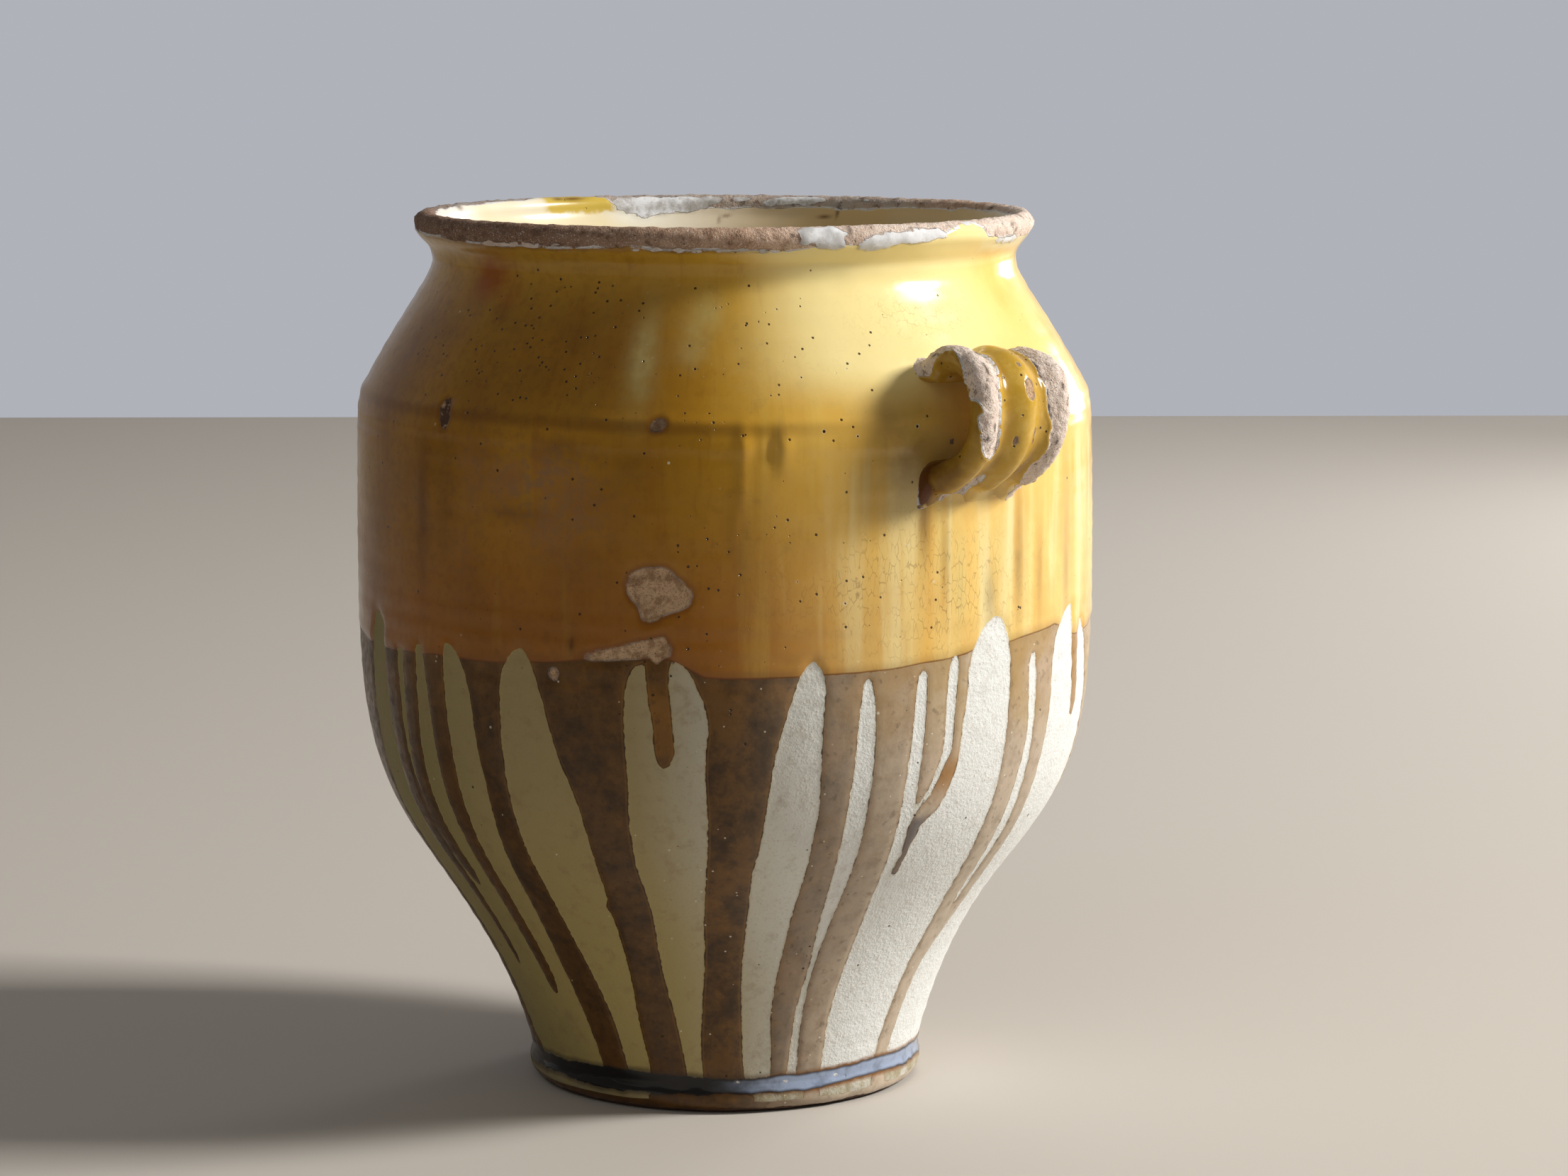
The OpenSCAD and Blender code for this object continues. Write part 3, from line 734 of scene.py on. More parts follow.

# chips in the glaze of the straps, and in the same way a painted shadow line along the left border of the right
# roll and small dark holes in their bare clay
strapChips = [
    [(-1.8, 32.4), (0, 31), (1.7, 31.6), (2.4, 33.6), (3, 35.6), (1.2, 37.4), (-0.6, 36.8), (-2.3, 35.4)],
    [(-5.5, 48.6), (-4.8, 47.8), (-3.5, 48), (-3, 49.6), (-4, 50.7), (-5.2, 50.2)],
    [(4, 46), (5, 45.2), (5.9, 48), (6.1, 50.6), (5.1, 50.8), (4.4, 48.4)],
    [(-1.9, 26.4), (-0.8, 26), (-0.4, 27.1), (-1.3, 27.6)],
]
strapShadowLineAndHoles = [
    [(14.2, 8.6), (15, 9), (13.4, 14), (12.6, 19), (12.1, 23.4), (11.7, 27), (10.6, 30), (11.8, 33),
     (12.2, 38.4), (12.8, 42), (13.6, 44.6), (12.8, 44.8), (11.9, 42.4), (11.1, 38.6), (11.1, 35),
     (10.3, 31.6), (9.3, 30), (10.5, 26.6), (11.2, 23), (11.9, 18.7), (12.8, 13)],
    [(-18.2, 21.5), (-17.2, 21), (-16.8, 22.6), (-17.8, 23)],
    [(-19, 26.4), (-18.4, 26), (-18, 29.6), (-18.8, 29)],
    [(-21, 31.6), (-20.3, 31), (-19.8, 33.4), (-20.8, 33.6)],
    [(-17.4, 43.6), (-16.6, 43), (-16.2, 45.4), (-17.2, 45.8)],
    [(-20.6, 47.2), (-19.7, 46.8), (-19.2, 48.4), (-20.2, 48.8)],
    [(-24.6, 9.2), (-23.8, 8.8), (-23.4, 10), (-24.2, 10.4)],
    [(-14.8, 24.2), (-14.2, 23.8), (-13.8, 25.4), (-14.6, 25.6)],
    [(17.6, 33), (18.1, 32.6), (18.6, 35), (18, 35.2)],
    [(16.4, 50.2), (17.1, 49.8), (17.4, 51), (16.8, 51.4)],
    [(-13.4, 46.6), (-12.6, 46.2), (-12.8, 48), (-13.4, 48)],
]


def strapLine():
    # points along the strap's middle line, and the direction out of the wall at each end
    s = strapShape
    halfT = s["thickness"] / 2
    topZ = potShape["height"] - s["drop"] - halfT
    rootZ, footZ = topZ - 6, topZ + halfT - s["height"]

    def outOf(z):
        # unit direction square to the wall at a height
        rise = wallRadius(z - 4) - wallRadius(z + 4)
        return np.array([8.0, rise]) / math.hypot(8.0, rise)

    rootOut, footOut = outOf(rootZ), outOf(footZ)
    root = np.array([wallRadius(rootZ), rootZ]) - 0.5 * rootOut
    foot = np.array([wallRadius(footZ), footZ]) - 0.5 * footOut
    top = np.array([potShape["shoulderRadius"] + 3, topZ])
    back = np.array([potShape["shoulderRadius"] + s["reach"] - halfT, topZ - 0.36 * s["height"]])
    line = np.vstack([cubic(root, root + 5 * rootOut, top - [6, 0], top, 60),
                      cubic(top, top + [12.5, 0], back + [0, 10], back, 90),
                      cubic(back, back - [0, 16], foot + 9 * footOut + [0, 4], foot, 90), [foot]])
    return spaced(line, s["ringStep"]), rootOut, footOut


def strapSection():
    # points round the strap's section as across and up, clockwise from the left roll, with mm across it
    s = strapShape
    h = s["thickness"] / 2
    rollY = s["width"] / 2 - h
    u = np.linspace(-1, 1, s["ridgePoints"] + 1)
    ridge = np.stack([rollY * u, h - s["groove"] * (1 - np.cos(2 * math.pi * u)) / 2], -1)
    right = arcPoints([rollY, 0], h, 90, -90, s["rollPoints"] + 2)[1:]
    below = np.stack([np.linspace(rollY, -rollY, s["underPoints"] + 2)[1:-1],
                      np.full(s["underPoints"], -h)], -1)
    left = arcPoints([-rollY, 0], h, 270, 90, s["rollPoints"] + 2)[:-1]
    section = np.vstack([ridge, right, below, left])
    run = lengths(section)
    across = run - run[s["ridgePoints"] // 2]
    turnBack = len(ridge) + len(right) + s["underPoints"] // 2
    whole = run[-1] + np.hypot(*(section[0] - section[-1]))
    across = np.where(np.arange(len(section)) > turnBack, across - whole, across)
    return section, across


def reliefAt(bearing, z):
    # how far the finished outside stands from the turned profile at a bearing in degrees and a height
    rings = np.flatnonzero((ringRegion == 1) | (ringRegion == 2))
    starts = np.r_[0, np.cumsum(ringCounts)][rings]
    place = np.interp(z, ringPoints[rings, 1], np.arange(len(rings)))
    low = np.clip(np.floor(place).astype(int), 0, len(rings) - 2)

    def onRing(k):
        # relief at the nearest point of a ring
        n = ringCounts[rings[k]]
        return lift[starts[k] + np.round((bearing % 360) / 360 * n).astype(int) % n]

    part = place - low
    return onRing(low) * (1 - part) + onRing(low + 1) * part


def inStrap(outlines, across, along, seed):
    # mm inside the nearest of some outlines, a little ragged, for every point of the section at places along it
    aa, rr = np.meshgrid(across, along)
    flatRadius = np.full(aa.size, 180 / math.pi)  # a degree is a mm here
    depth = deepestIn([rounded(o) for o in outlines], aa.ravel(), rr.ravel(), flatRadius).reshape(aa.shape)
    return depth + 0.45 * layeredNoise(aa / 70 + 0.5, rr / strapLength, 34, 34, seed)


def sectionOutward(section):
    # the direction away from the strap's middle at each point of its section
    s = strapShape
    half, roll = s["thickness"] / 2, s["width"] / 2 - s["thickness"] / 2
    beyond = np.abs(section[:, 0]) - roll
    outward = np.stack([np.sign(section[:, 0]) * (beyond > 0) * beyond / half, section[:, 1] / half], -1)
    return outward / np.maximum(np.hypot(*outward.T), 0.3)[:, None]


def onWall(bearing, y, z, sink):
    # distance in front of the pot's middle at which the finished wall lies, sunk by some mm, beside and up
    out = wallRadius(z) - sink
    out = out + reliefAt(bearing + np.degrees(np.arctan2(y, out)), z)
    return np.sqrt(np.maximum(out ** 2 - y ** 2, 1))


def skirt(bearing, ring, aside, up):
    # rings from one ring of the strap down onto the wall, ending aside and up from it: a curve of second degree
    x0, y0, z0 = ring
    y2, z2 = y0 + aside, z0 + up
    x1, x2 = onWall(bearing, y0, z0, 0.0), onWall(bearing, y2, z2, 0.25)
    bent = lambda t, p, q, e: (1 - t) ** 2 * p + 2 * (1 - t) * t * q + t * t * e
    rings = [np.stack([bent(t, x0, x1, x2), bent(t, y0, y0, y2), bent(t, z0, z0, z2)], -1) for t in skirtShares]
    return rings + [np.stack([onWall(bearing, y2, z2, strapShape["sunk"]), y2, z2], -1)]


def tubeFaces(count, around):
    # quads between the rings of a tube, and one face over each end
    i, j = np.meshgrid(np.arange(count - 1), np.arange(around), indexing="ij")
    this, after = i * around, (i + 1) * around
    sides = np.stack([this + j, after + j, after + (j + 1) % around, this + (j + 1) % around], -1)
    last = (count - 1) * around
    return sides.reshape(-1, 4).tolist() + [list(range(around)), list(range(last, last + around))[::-1]]


def strapRings(bearing, seed):
    # the strap swept along its line, spread onto the wall at both ends; its rings and their places along it
    s = strapShape
    line, rootOut, footOut = strapLine()
    section, across = strapSection()
    along = lengths(line)
    way = np.gradient(line, axis=0)
    way /= np.hypot(*way.T)[:, None]
    way[0], way[-1] = rootOut, -footOut
    toTop = np.clip(1 - along / s["pressTop"], 0, 1) ** 2
    toFoot = np.clip(1 - (strapLength - along) / s["pressFoot"], 0, 1) ** 2
    grow = s["spread"] * np.maximum(toFoot, s["topSpread"] * toTop)
    wide = (s["width"] + grow) / s["width"]
    thick = (s["thickness"] + grow / 2) / s["thickness"]
    a, r = np.meshgrid(across / 70 + 0.5, along / strapLength)
    bareDepth = inStrap(strapBare.values(), across, along, seed + 5)
    chipDepth = inStrap(strapChips, across, along, seed + 5)
    raised = 0.35 * softNoise(a, r, 4, 6, seed) + 0.14 * layeredNoise(a, r, 9, 18, seed + 3)
    grit = layeredNoise(a, r, 70, 70, seed + 9)
    raised = raised - 0.6 * ease(bareDepth, -0.2, 0.5) + 0.36 * grit * ease(bareDepth, -0.2, 1.2)
    raised = raised - 0.45 * ease(chipDepth, -0.1, 0.5)
    raised = raised + 0.35 * ease(bareDepth, -1.8, -0.2) * (1 - ease(bareDepth, -0.2, 0.6))
    outward = sectionOutward(section)
    y = section[None, :, 0] * wide[:, None] + outward[None, :, 0] * raised
    h = section[None, :, 1] * thick[:, None] + outward[None, :, 1] * raised
    h = h - s["twist"] * y * np.exp(-((along - s["twistAt"]) / s["twistSoft"]) ** 2)[:, None]
    y = y + np.interp(along / strapLength, *np.array(s["shift"]).T)[:, None]
    shoulder = potShape["shoulderRadius"]
    bend = np.maximum(toTop, toFoot)[:, None] * (shoulder - np.sqrt(shoulder ** 2 - y ** 2))
    x = line[:, :1] - way[:, 1:] * h - bend
    z = line[:, 1:] + way[:, :1] * h

    phase = np.random.default_rng(seed).uniform(0, 6.28, 2)
    first = int(round(s["skirtTop"] / s["ringStep"]))
    last = len(line) - 1 - int(round(s["skirtFoot"] / s["ringStep"]))
    dy, dz = y[first] - y[first].mean(), z[first] - z[first].mean()
    spread = (0.8 + 0.3 * np.sin(across / 5 + phase[0])) / np.hypot(dy / 4, dz)
    top = skirt(bearing, (x[first], y[first], z[first]), dy / 4 * spread, dz * spread)[::-1]
    at, aside, up = np.array(s["footOutline"]).T
    ripple = 1 + 0.12 * np.sin(across / 4 + phase[1])
    foot = skirt(bearing, (x[last], y[last], z[last]), np.interp(across, at, aside),
                 np.interp(across, at, up) * ripple)
    middle = [np.stack([x[k], y[k], z[k]], -1) for k in range(first, last + 1)]
    reach = np.r_[along[first] - np.r_[1, skirtShares[::-1]], along[first:last + 1],
                  along[last] + 9.0 * np.r_[skirtShares, 1]]
    return np.array(top + middle + foot), reach


def makeStrap(name, bearing, seed):
    # a strap handle on a side of the pot, closed inside the wall, with the values that its finish follows
    rings, reach = strapRings(bearing, seed)
    across = strapSection()[1]
    points = rings.reshape(-1, 3)
    c, s = math.cos(math.radians(bearing)), math.sin(math.radians(bearing))
    x, y, z = points.T
    points = np.stack([x * c - y * s, x * s + y * c, z], -1)
    bareDepth = inStrap(strapBare.values(), across, reach, seed + 5)
    chipDepth = inStrap(strapChips, across, reach, seed + 5)
    # a painted shadow line along the left border of the right roll, and small dark holes in the bare clay
    shadowLineAndHoles = ease(inStrap(strapShadowLineAndHoles, across, reach, seed + 5), -0.5, 0.25)
    aa, rr = np.meshgrid(across, reach)
    # darker strap glaze in the grooves; painted shade along the outer sides, at the lower end and on the left
    # of the lower half
    strapDarkening = 0.6 * np.exp(-((np.abs(aa) - 8.6) / 2.6) ** 2) + 0.75 * ease(np.abs(aa), 19, 25)
    strapDarkening = strapDarkening + 0.3 * ease(rr, 56, 76) + 0.5 * ease(rr, 40, 62) * ease(-aa, 6, 16)
    strapDarkening = strapDarkening * (0.75 + 0.3 * layeredNoise(aa / 70 + 0.5, rr / strapLength, 7, 12, seed + 13))
    deep, none = np.full(aa.shape, edgeReach), np.zeros(aa.shape)
    fields = {
        "brown_run": deep, "yellow_glaze": deep, "white_slip": -deep, "foot_pool": -deep,
        "bare_clay": np.clip(np.maximum(bareDepth, chipDepth), -edgeReach, edgeReach),
        "golden": 2 - 2 * ease(rr, 68, 80), "inside_glaze": none, "rough_clay": bareDepth > chipDepth,
        "brown_patch": np.maximum(np.where(bareDepth > 0, 0, strapDarkening), shadowLineAndHoles),
        "pale_patch": none, "pink_patch": none, "speck_patch": none + 0.2, "crack_patch": none}
    fields = {key: value.ravel() for key, value in fields.items()}
    return makePiece(name, points, tubeFaces(*rings.shape[:2]), fields)


strapLength = lengths(strapLine()[0])[-1]
skirtShares = np.arange(1, strapShape["skirtRings"] + 1) / strapShape["skirtRings"]
frontStrap = makeStrap("handle_front", 0.0, 201)
backStrap = makeStrap("handle_back", 180.0, 301)
print("handles", len(frontStrap.data.polygons))


# the finish: one glazed clay whose colours, gloss and grain follow the values kept at the points

glazeColours = {  # red, green, blue from 0 to 255
    "mustard": (204, 152, 30), "strap_glaze": (192, 152, 48), "rust": (150, 84, 14),
    "bright": (244, 212, 128), "amber": (172, 106, 14), "straw": (216, 182, 80), "umber_shade": (124, 78, 14),
    "stain_and_shade": (92, 50, 8), "pale": (196, 190, 132), "pink": (146, 96, 56), "orange": (226, 168, 60),
    "light": (240, 226, 170), "sunlit": (244, 226, 160), "edge_line": (104, 54, 14), "dust": (134, 106, 72),
    "brown": (112, 76, 28), "brown_dark": (60, 38, 8), "brown_golden": (152, 102, 26),
    "brown_grey": (112, 106, 104), "brown_taupe": (188, 172, 152), "brown_amber": (118, 74, 26),
    "brown_olive": (172, 146, 74), "cream": (200, 194, 170), "cream_yellow": (170, 152, 92),
    "cream_shade": (154, 138, 94), "cream_green": (132, 122, 72), "cream_grey": (184, 182, 168),
    "cream_lit": (226, 228, 226), "clay": (208, 178, 154), "clay_dark": (172, 138, 112),
    "clay_pale": (228, 214, 204), "clay_pit": (84, 62, 50), "clay_shade": (120, 90, 70),
    "chip_clay": (196, 164, 130), "chip_dark": (150, 118, 88), "slip": (222, 224, 228),
    "slip_grey": (166, 162, 158), "pool": (18, 16, 18), "pool_sheen": (148, 162, 188),
    "pool_edge": (132, 88, 44), "bead": (150, 138, 108), "inside": (236, 232, 218),
    "inside_yellow": (226, 208, 160), "inside_low": (172, 152, 122), "inside_olive_shade": (188, 152, 84),
    "splash": (206, 178, 80), "speck": (48, 32, 20), "white_speck_and_glint": (228, 220, 198),
}
gloss = {  # roughness, lower is shinier
    "yellow": 0.16, "brown": 0.34, "cream": 0.6, "dusty": 0.4, "clay": 0.88, "slip": 0.75, "pool": 0.14,
    "inside": 0.24,
}
reflected = 0.38  # how strongly the surface mirrors, on the shader's scale of 0 to 1


def linear(rgb):
    # a colour from 0 to 255 as linear values: c / 12.92 where dark, elsewhere ((c + 0.055) / 1.055) ** 2.4
    c = np.array(rgb) / 255
    c = np.where(c <= 0.04045, c / 12.92, ((c + 0.055) / 1.055) ** 2.4)
    return (*c.tolist(), 1.0)


clay = bpy.data.materials.new("glazed_clay")
clay.use_nodes = True
tree = clay.node_tree
tree.nodes.clear()


def fill(socket, value):
    # links a socket, or sets it
    if isinstance(value, bpy.types.NodeSocket):
        tree.links.new(value, socket)
    else:
        socket.default_value = value


def node(kind, values=(), **settings):
    # a node of a kind, its settings, and its inputs by name or place
    made = tree.nodes.new("ShaderNode" + kind)
    for key, value in settings.items():
        setattr(made, key, value)
    for key, value in dict(values).items():
        fill(made.inputs[key], value)
    return made


def calc(operation, *inputs, clamp=False):
    # a sum on values, each a number or a socket
    return node("Math", enumerate(inputs), operation=operation, use_clamp=clamp).outputs[0]


def scaled(value, factor, added):
    # value times factor, plus something
    return calc("MULTIPLY_ADD", value, factor, added)


def less(value, taken):
    # value minus something
    return calc("SUBTRACT", value, taken)


def times(*values):
    # the product of all values, kept between 0 and 1
    total = values[0]
    for value in values[1:]:
        total = calc("MULTIPLY", total, value, clamp=True)
    return total


def step(value, low, high, start=0.0, end=1.0):
    # smooth step of a value between two limits
    return node("MapRange", {0: value, 1: low, 2: high, 3: start, 4: end},
                interpolation_type="SMOOTHSTEP").outputs[0]


def blend(share, first, second):
    # mixes two colours, each a name or a socket
    first, second = (linear(glazeColours[c]) if isinstance(c, str) else c for c in (first, second))
    return node("Mix", {0: share, 6: first, 7: second}, data_type="RGBA").outputs[2]


def laid(tone, *coats):
    # lays coats over a colour in turn, each as how much of it shows and its colour
    for amount, coat in coats:
        tone = blend(amount, tone, coat)
    return tone


def between(share, first, second):
    # mixes two values
    return node("Mix", {0: share, 2: first, 3: second}, data_type="FLOAT").outputs[0]


def noise(vector, scale, detail=2.0, roughness=0.5, distortion=0.0):
    # cloudy pattern from 0 to 1, scale in swells per metre
    return node("TexNoise", {"Vector": vector, "Scale": scale, "Detail": detail, "Roughness": roughness,
                             "Distortion": distortion}).outputs["Fac"]


def kept(name):
    # a value kept at the points
    return node("Attribute", attribute_name=name).outputs["Fac"]


def vectors(operation, first, second, output=0):
    # a sum on two vectors
    return node("VectorMath", {0: first, 1: second}, operation=operation).outputs[output]


place = node("TexCoord").outputs["Object"]
apart = node("SeparateXYZ", {0: place})
upZ = apart.outputs["Z"]
level = node("CombineXYZ", {0: apart.outputs["X"], 1: apart.outputs["Y"]}).outputs[0]
roundAbout = node("VectorMath", {0: level}, operation="NORMALIZE").outputs[0]


def drawn(stretch, push=0.0):
    # direction round the pot with the height added, for marks that run down the wall
    return vectors("ADD", roundAbout, node("CombineXYZ", {2: scaled(upZ, stretch, push)}).outputs[0])


def towards(angle, spread):
    # 1 towards a side of the pot, falling to 0 at spread degrees; angle from the photographed side
    a = math.radians(angle + viewTurn)
    facing = vectors("DOT_PRODUCT", roundAbout, (math.cos(a), math.sin(a), 0), "Value")
    return step(facing, math.cos(math.radians(spread)), 1.0)


def dots(scale, size, share, push=0.0):
    # scattered round marks: scale in cells per metre, size as a share of a cell, share of cells that have one
    moved = node("Mapping", {0: place, 1: (push, push, push)}).outputs[0]
    cells = node("TexVoronoi", {"Vector": moved, "Scale": scale, "Randomness": 1.0}, feature="F1")
    picked = node("SeparateColor", {0: cells.outputs["Color"]})
    near = step(cells.outputs["Distance"], size, size * 0.55)
    return times(near, calc("LESS_THAN", picked.outputs[0], share)), picked.outputs[1]


brownAt, yellowAt, bareAt = kept("brown_run"), kept("yellow_glaze"), kept("bare_clay")
slipAt, poolAt, goldenAt = kept("white_slip"), kept("foot_pool"), kept("golden")
insideAt, roughAt = kept("inside_glaze"), kept("rough_clay")
brownPatch, palePatch, pinkPatch = kept("brown_patch"), kept("pale_patch"), kept("pink_patch")
speckPatch, crackPatch = kept("speck_patch"), kept("crack_patch")

fine = noise(place, 900, 3, 0.6)
grit = noise(place, 1900, 2, 0.7)
small = noise(place, 330, 3, 0.55)
mottle = noise(place, 150, 4, 0.65)
cloud = noise(place, 42, 4, 0.6)
broad = noise(place, 14, 3, 0.5)
streak = noise(drawn(0.55), 11, 5, 0.62)
streakFine = noise(drawn(0.9, 3.0), 46, 3, 0.6, 0.8)
streakRight = noise(drawn(0.55, 9.0), 13, 2, 0.5, 0.5)
wiggle = less(small, 0.5)
leftSide, rightSide = towards(-75, 90), towards(62, 66)

darkPits = dots(95, 0.05, 0.22)[0]
darkPitsMiddle = dots(420, 0.24, scaled(speckPatch, 0.7, 0.01), push=21.0)[0]
darkPitsSmall = dots(300, 0.085, scaled(speckPatch, 0.34, 0.12), push=3.1)[0]
lightPits, lightTone = dots(80, 0.05, 0.2, push=7.7)
lightPitsSmall = dots(260, 0.12, scaled(towards(36, 60), 0.4, 0.05), push=5.3)[0]

# fine cracks in the glaze: walls of tall narrow cells, bent by a noise, where the crack patches are
swirl = node("TexNoise", {"Vector": place, "Scale": 90.0}).outputs["Color"]
bending = node("VectorMath", {0: swirl, "Scale": 0.003}, operation="SCALE").outputs[0]
bentPlace = vectors("ADD", node("Mapping", {0: place, 3: (1, 1, 0.36)}).outputs[0], bending)
cracks = node("TexVoronoi", {"Vector": bentPlace, "Scale": 560.0, "Randomness": 1.0},
              feature="DISTANCE_TO_EDGE").outputs["Distance"]
crazing = times(step(cracks, 0.065, 0.012), crackPatch, step(cloud, 0.34, 0.6), step(small, 0.4, 0.56))

# yellow glaze: mustard above, amber below, with streaks that run down it and a dark crease at the shoulder
# edge; painted light makes it paler to the right, under the rim on the right and on the sunlit upper shoulder,
# and painted shade makes it darker umber on the left, dark in the crease and darker beside the bare clay
onStrap = step(goldenAt, 1.0, 1.9)
offStrap = less(1.0, onStrap)
heightMix = calc("ADD", upZ, scaled(streak, 0.05, -0.025))
lowRight = times(offStrap, towards(58, 56), step(upZ, 0.25, 0.235))
creaseHeight = scaled(leftSide, 0.0022, scaled(streak, 0.002, 0.2515))
crease = step(calc("ABSOLUTE", less(upZ, creaseHeight)), 0.0034, 0.0004)
# colour of the brown patches, dark brown with rust higher up: it paints real stains and also painted shadow and
# painted shade
stainAndShadeTone = blend(step(upZ, 0.288, 0.294), "stain_and_shade", "rust")
yellowTone = laid(
    "mustard",
    (step(heightMix, 0.24, 0.178), "amber"),
    (times(step(scaled(cloud, 0.04, upZ), 0.288, 0.34), 0.5), "straw"),
    (times(step(streak, 0.53, 0.7), 0.45), "amber"),
    (times(step(streak, 0.45, 0.3), 0.3), "straw"),
    (times(step(streakFine, 0.56, 0.76), 0.16), "stain_and_shade"),
    (times(step(mottle, 0.52, 0.72), 0.2), "stain_and_shade"),
    # painted light: paler yellow towards the lit right side
    (times(towards(62, 68), step(cloud, 0.25, 0.6, 0.55, 0.85)), "bright"),
    (times(onStrap, step(mottle, 0.3, 0.62, 0.65, 0.95)), "strap_glaze"),
    (times(lowRight, step(streakRight, 0.5, 0.68), 0.7), "orange"),
    # paler streaks low on the right, partly painted light
    (times(lowRight, step(streakRight, 0.5, 0.34), 0.7), "light"),
    # painted shade: darker umber in patches over the left side, weaker near the top
    (times(towards(-40, 56), step(broad, 0.3, 0.65, 0.5, 0.9), step(upZ, 0.306, 0.278, 0.55, 1.0)), "umber_shade"),
    # painted shade: a dark line in the crease at the shoulder edge, over the left side
    (times(crease, towards(-35, 62), 0.42), "stain_and_shade"),
    (times(leftSide, step(small, 0.46, 0.66), 0.2), "stain_and_shade"),
    (times(pinkPatch, step(cloud, 0.35, 0.62)), "pink"),
    (times(palePatch, step(cloud, 0.32, 0.58, 0.35, 1.0), 0.75), "pale"),
    # brown patches: real stains, and painted shade: the front strap's shadow on the wall and the darker parts
    # of the straps' glaze
    (times(brownPatch, step(cloud, 0.3, 0.6, 0.4, 0.9)), stainAndShadeTone),
    (times(pinkPatch, step(small, 0.42, 0.6), 0.6), "dust"),
    (times(step(yellowAt, 4.5, 0.3), 0.3), "edge_line"),
    (times(step(yellowAt, 0.9, 0.25), 0.8), "edge_line"),
    # painted shade: darker beside the bare clay, except on the right
    (times(step(bareAt, -2.2, -0.2), between(rightSide, 0.45, 0.0)), "edge_line"),
    # painted light: pale yellow under the rim on the right, where the neck is lit
    (times(step(bareAt, -7.6, -1.2), towards(45, 50), step(upZ, 0.290, 0.300), 1.4), "light"),
    (times(towards(32, 31), step(upZ, 0.256, 0.276), 1.1, offStrap), "sunlit"),
    (times(crazing, 0.5), "edge_line"))

# brown runs: mottled, golden where thin, darker to the left as painted shade, paler and greyer to the right,
# partly painted light
brownTone = laid(
    "brown_dark",
    (step(noise(place, 85, 4, 0.7), 0.36, 0.66), "brown"),
    # painted shade: darker brown towards the left
    (times(towards(-40, 52), 0.6), "brown_dark"),
    (times(step(mottle, 0.45, 0.68), 0.16), "brown_golden"),
    # paler grey taupe towards the right, partly painted light
    (times(towards(66, 68), 1.2, step(mottle, 0.25, 0.6, 0.7, 1.0)), "brown_taupe"),
    (times(towards(66, 60), step(upZ, 0.13, 0.165), step(cloud, 0.3, 0.62), 0.6), "brown_olive"),
    (times(step(upZ, 0.135, 0.172), step(cloud, 0.35, 0.65), 0.16), "brown_golden"),
    (times(step(upZ, 0.04, 0.012), leftSide, 0.25), "brown_amber"),
    (times(step(goldenAt, 0.0, 1.0), 0.85), "brown_golden"),
    (step(goldenAt, -0.15, -0.8), "brown_grey"),
    (times(step(brownAt, 1.3, 0.7), step(brownAt, 0.3, 0.7), between(leftSide, 0.3, 0.14)), "brown_golden"),
    (times(step(brownAt, 0.5, 0.1), 0.65), "brown_dark"),
    (times(step(small, 0.58, 0.72), 0.35), "speck"))

# cream slip: whiter to the right as painted light, darker and warmer to the left as painted shade, yellower low
# on the left, with a fine dark grain
creamLow = times(towards(-60, 100), step(upZ, 0.15, 0.03), 0.9)
creamTone = laid(
    "cream",
    (step(cloud, 0.35, 0.7), "cream_grey"),
    # painted shade: darker and warmer towards the left
    (times(towards(-50, 68), 1.3), "cream_shade"),
    (times(towards(-72, 34), step(broad, 0.35, 0.6, 0.5, 0.9)), "cream_green"),
    # painted light: whiter towards the right
    (times(towards(64, 82), 1.3), "cream_lit"),
    (times(creamLow, step(broad, 0.3, 0.62, 0.6, 1.0)), "cream_yellow"),
    (times(step(mottle, 0.5, 0.72), between(rightSide, 0.34, 0.16)), "dust"),
    (times(step(scaled(grit, 0.4, calc("MULTIPLY", fine, 0.6)), 0.54, 0.66), 0.5), "clay_dark"),
    (times(step(brownAt, -0.9, -0.1), 0.3), "cream_yellow"),
    (times(darkPitsSmall, 0.75), "clay_pit"),
    (times(step(upZ, 0.0112, 0.0096), step(mottle, 0.3, 0.62, 0.45, 0.95)), "bead"))

# pool of dark glaze round the foot: black to the left, with a grey-blue sheen to the right that is a painted
# reflection
isPool = step(scaled(less(cloud, 0.5), 1.4, scaled(wiggle, 1.2, poolAt)), -0.6, 0.5)
poolSoft = times(step(poolAt, -2.2, -0.1), less(1.0, rightSide), less(1.0, isPool), 0.7)
poolTone = laid(
    "pool",
    # painted reflection: grey-blue sheen in the middle of the band, towards the right
    (times(towards(46, 52), 1.5, step(mottle, 0.3, 0.55, 0.6, 1.0), step(poolAt, 0.2, 1.5)), "pool_sheen"),
    (times(step(poolAt, 0.7, 0.1), rightSide, step(cloud, 0.4, 0.6), 0.8), "pool_edge"))

# inside: bright cream with soft yellow, darker towards the floor, olive painted shade to the right, a yellow
# splash with a brown spot under the far rim
splash = times(towards(212.5, 9.5), 3.0, step(cloud, 0.2, 0.5, 0.6, 1.0),
               step(scaled(wiggle, 0.004, upZ), 0.3130, 0.3148))
insideTone = laid(
    "inside",
    (times(step(broad, 0.46, 0.66), 0.7), "inside_yellow"),
    # darker towards the floor
    (times(step(upZ, 0.06, 0.012), 0.75), "inside_low"),
    # painted shade: olive towards the right of the inside
    (times(towards(146, 56), 0.7), "inside_olive_shade"),
    (times(crazing, 0.3), "stain_and_shade"),
    (times(darkPits, 0.6), "speck"),
    (times(towards(213, 26), step(upZ, 0.312, 0.306), step(upZ, 0.293, 0.3), 0.4), "inside_yellow"),
    (splash, "splash"),
    (times(brownPatch, 0.9), "stain_and_shade"))

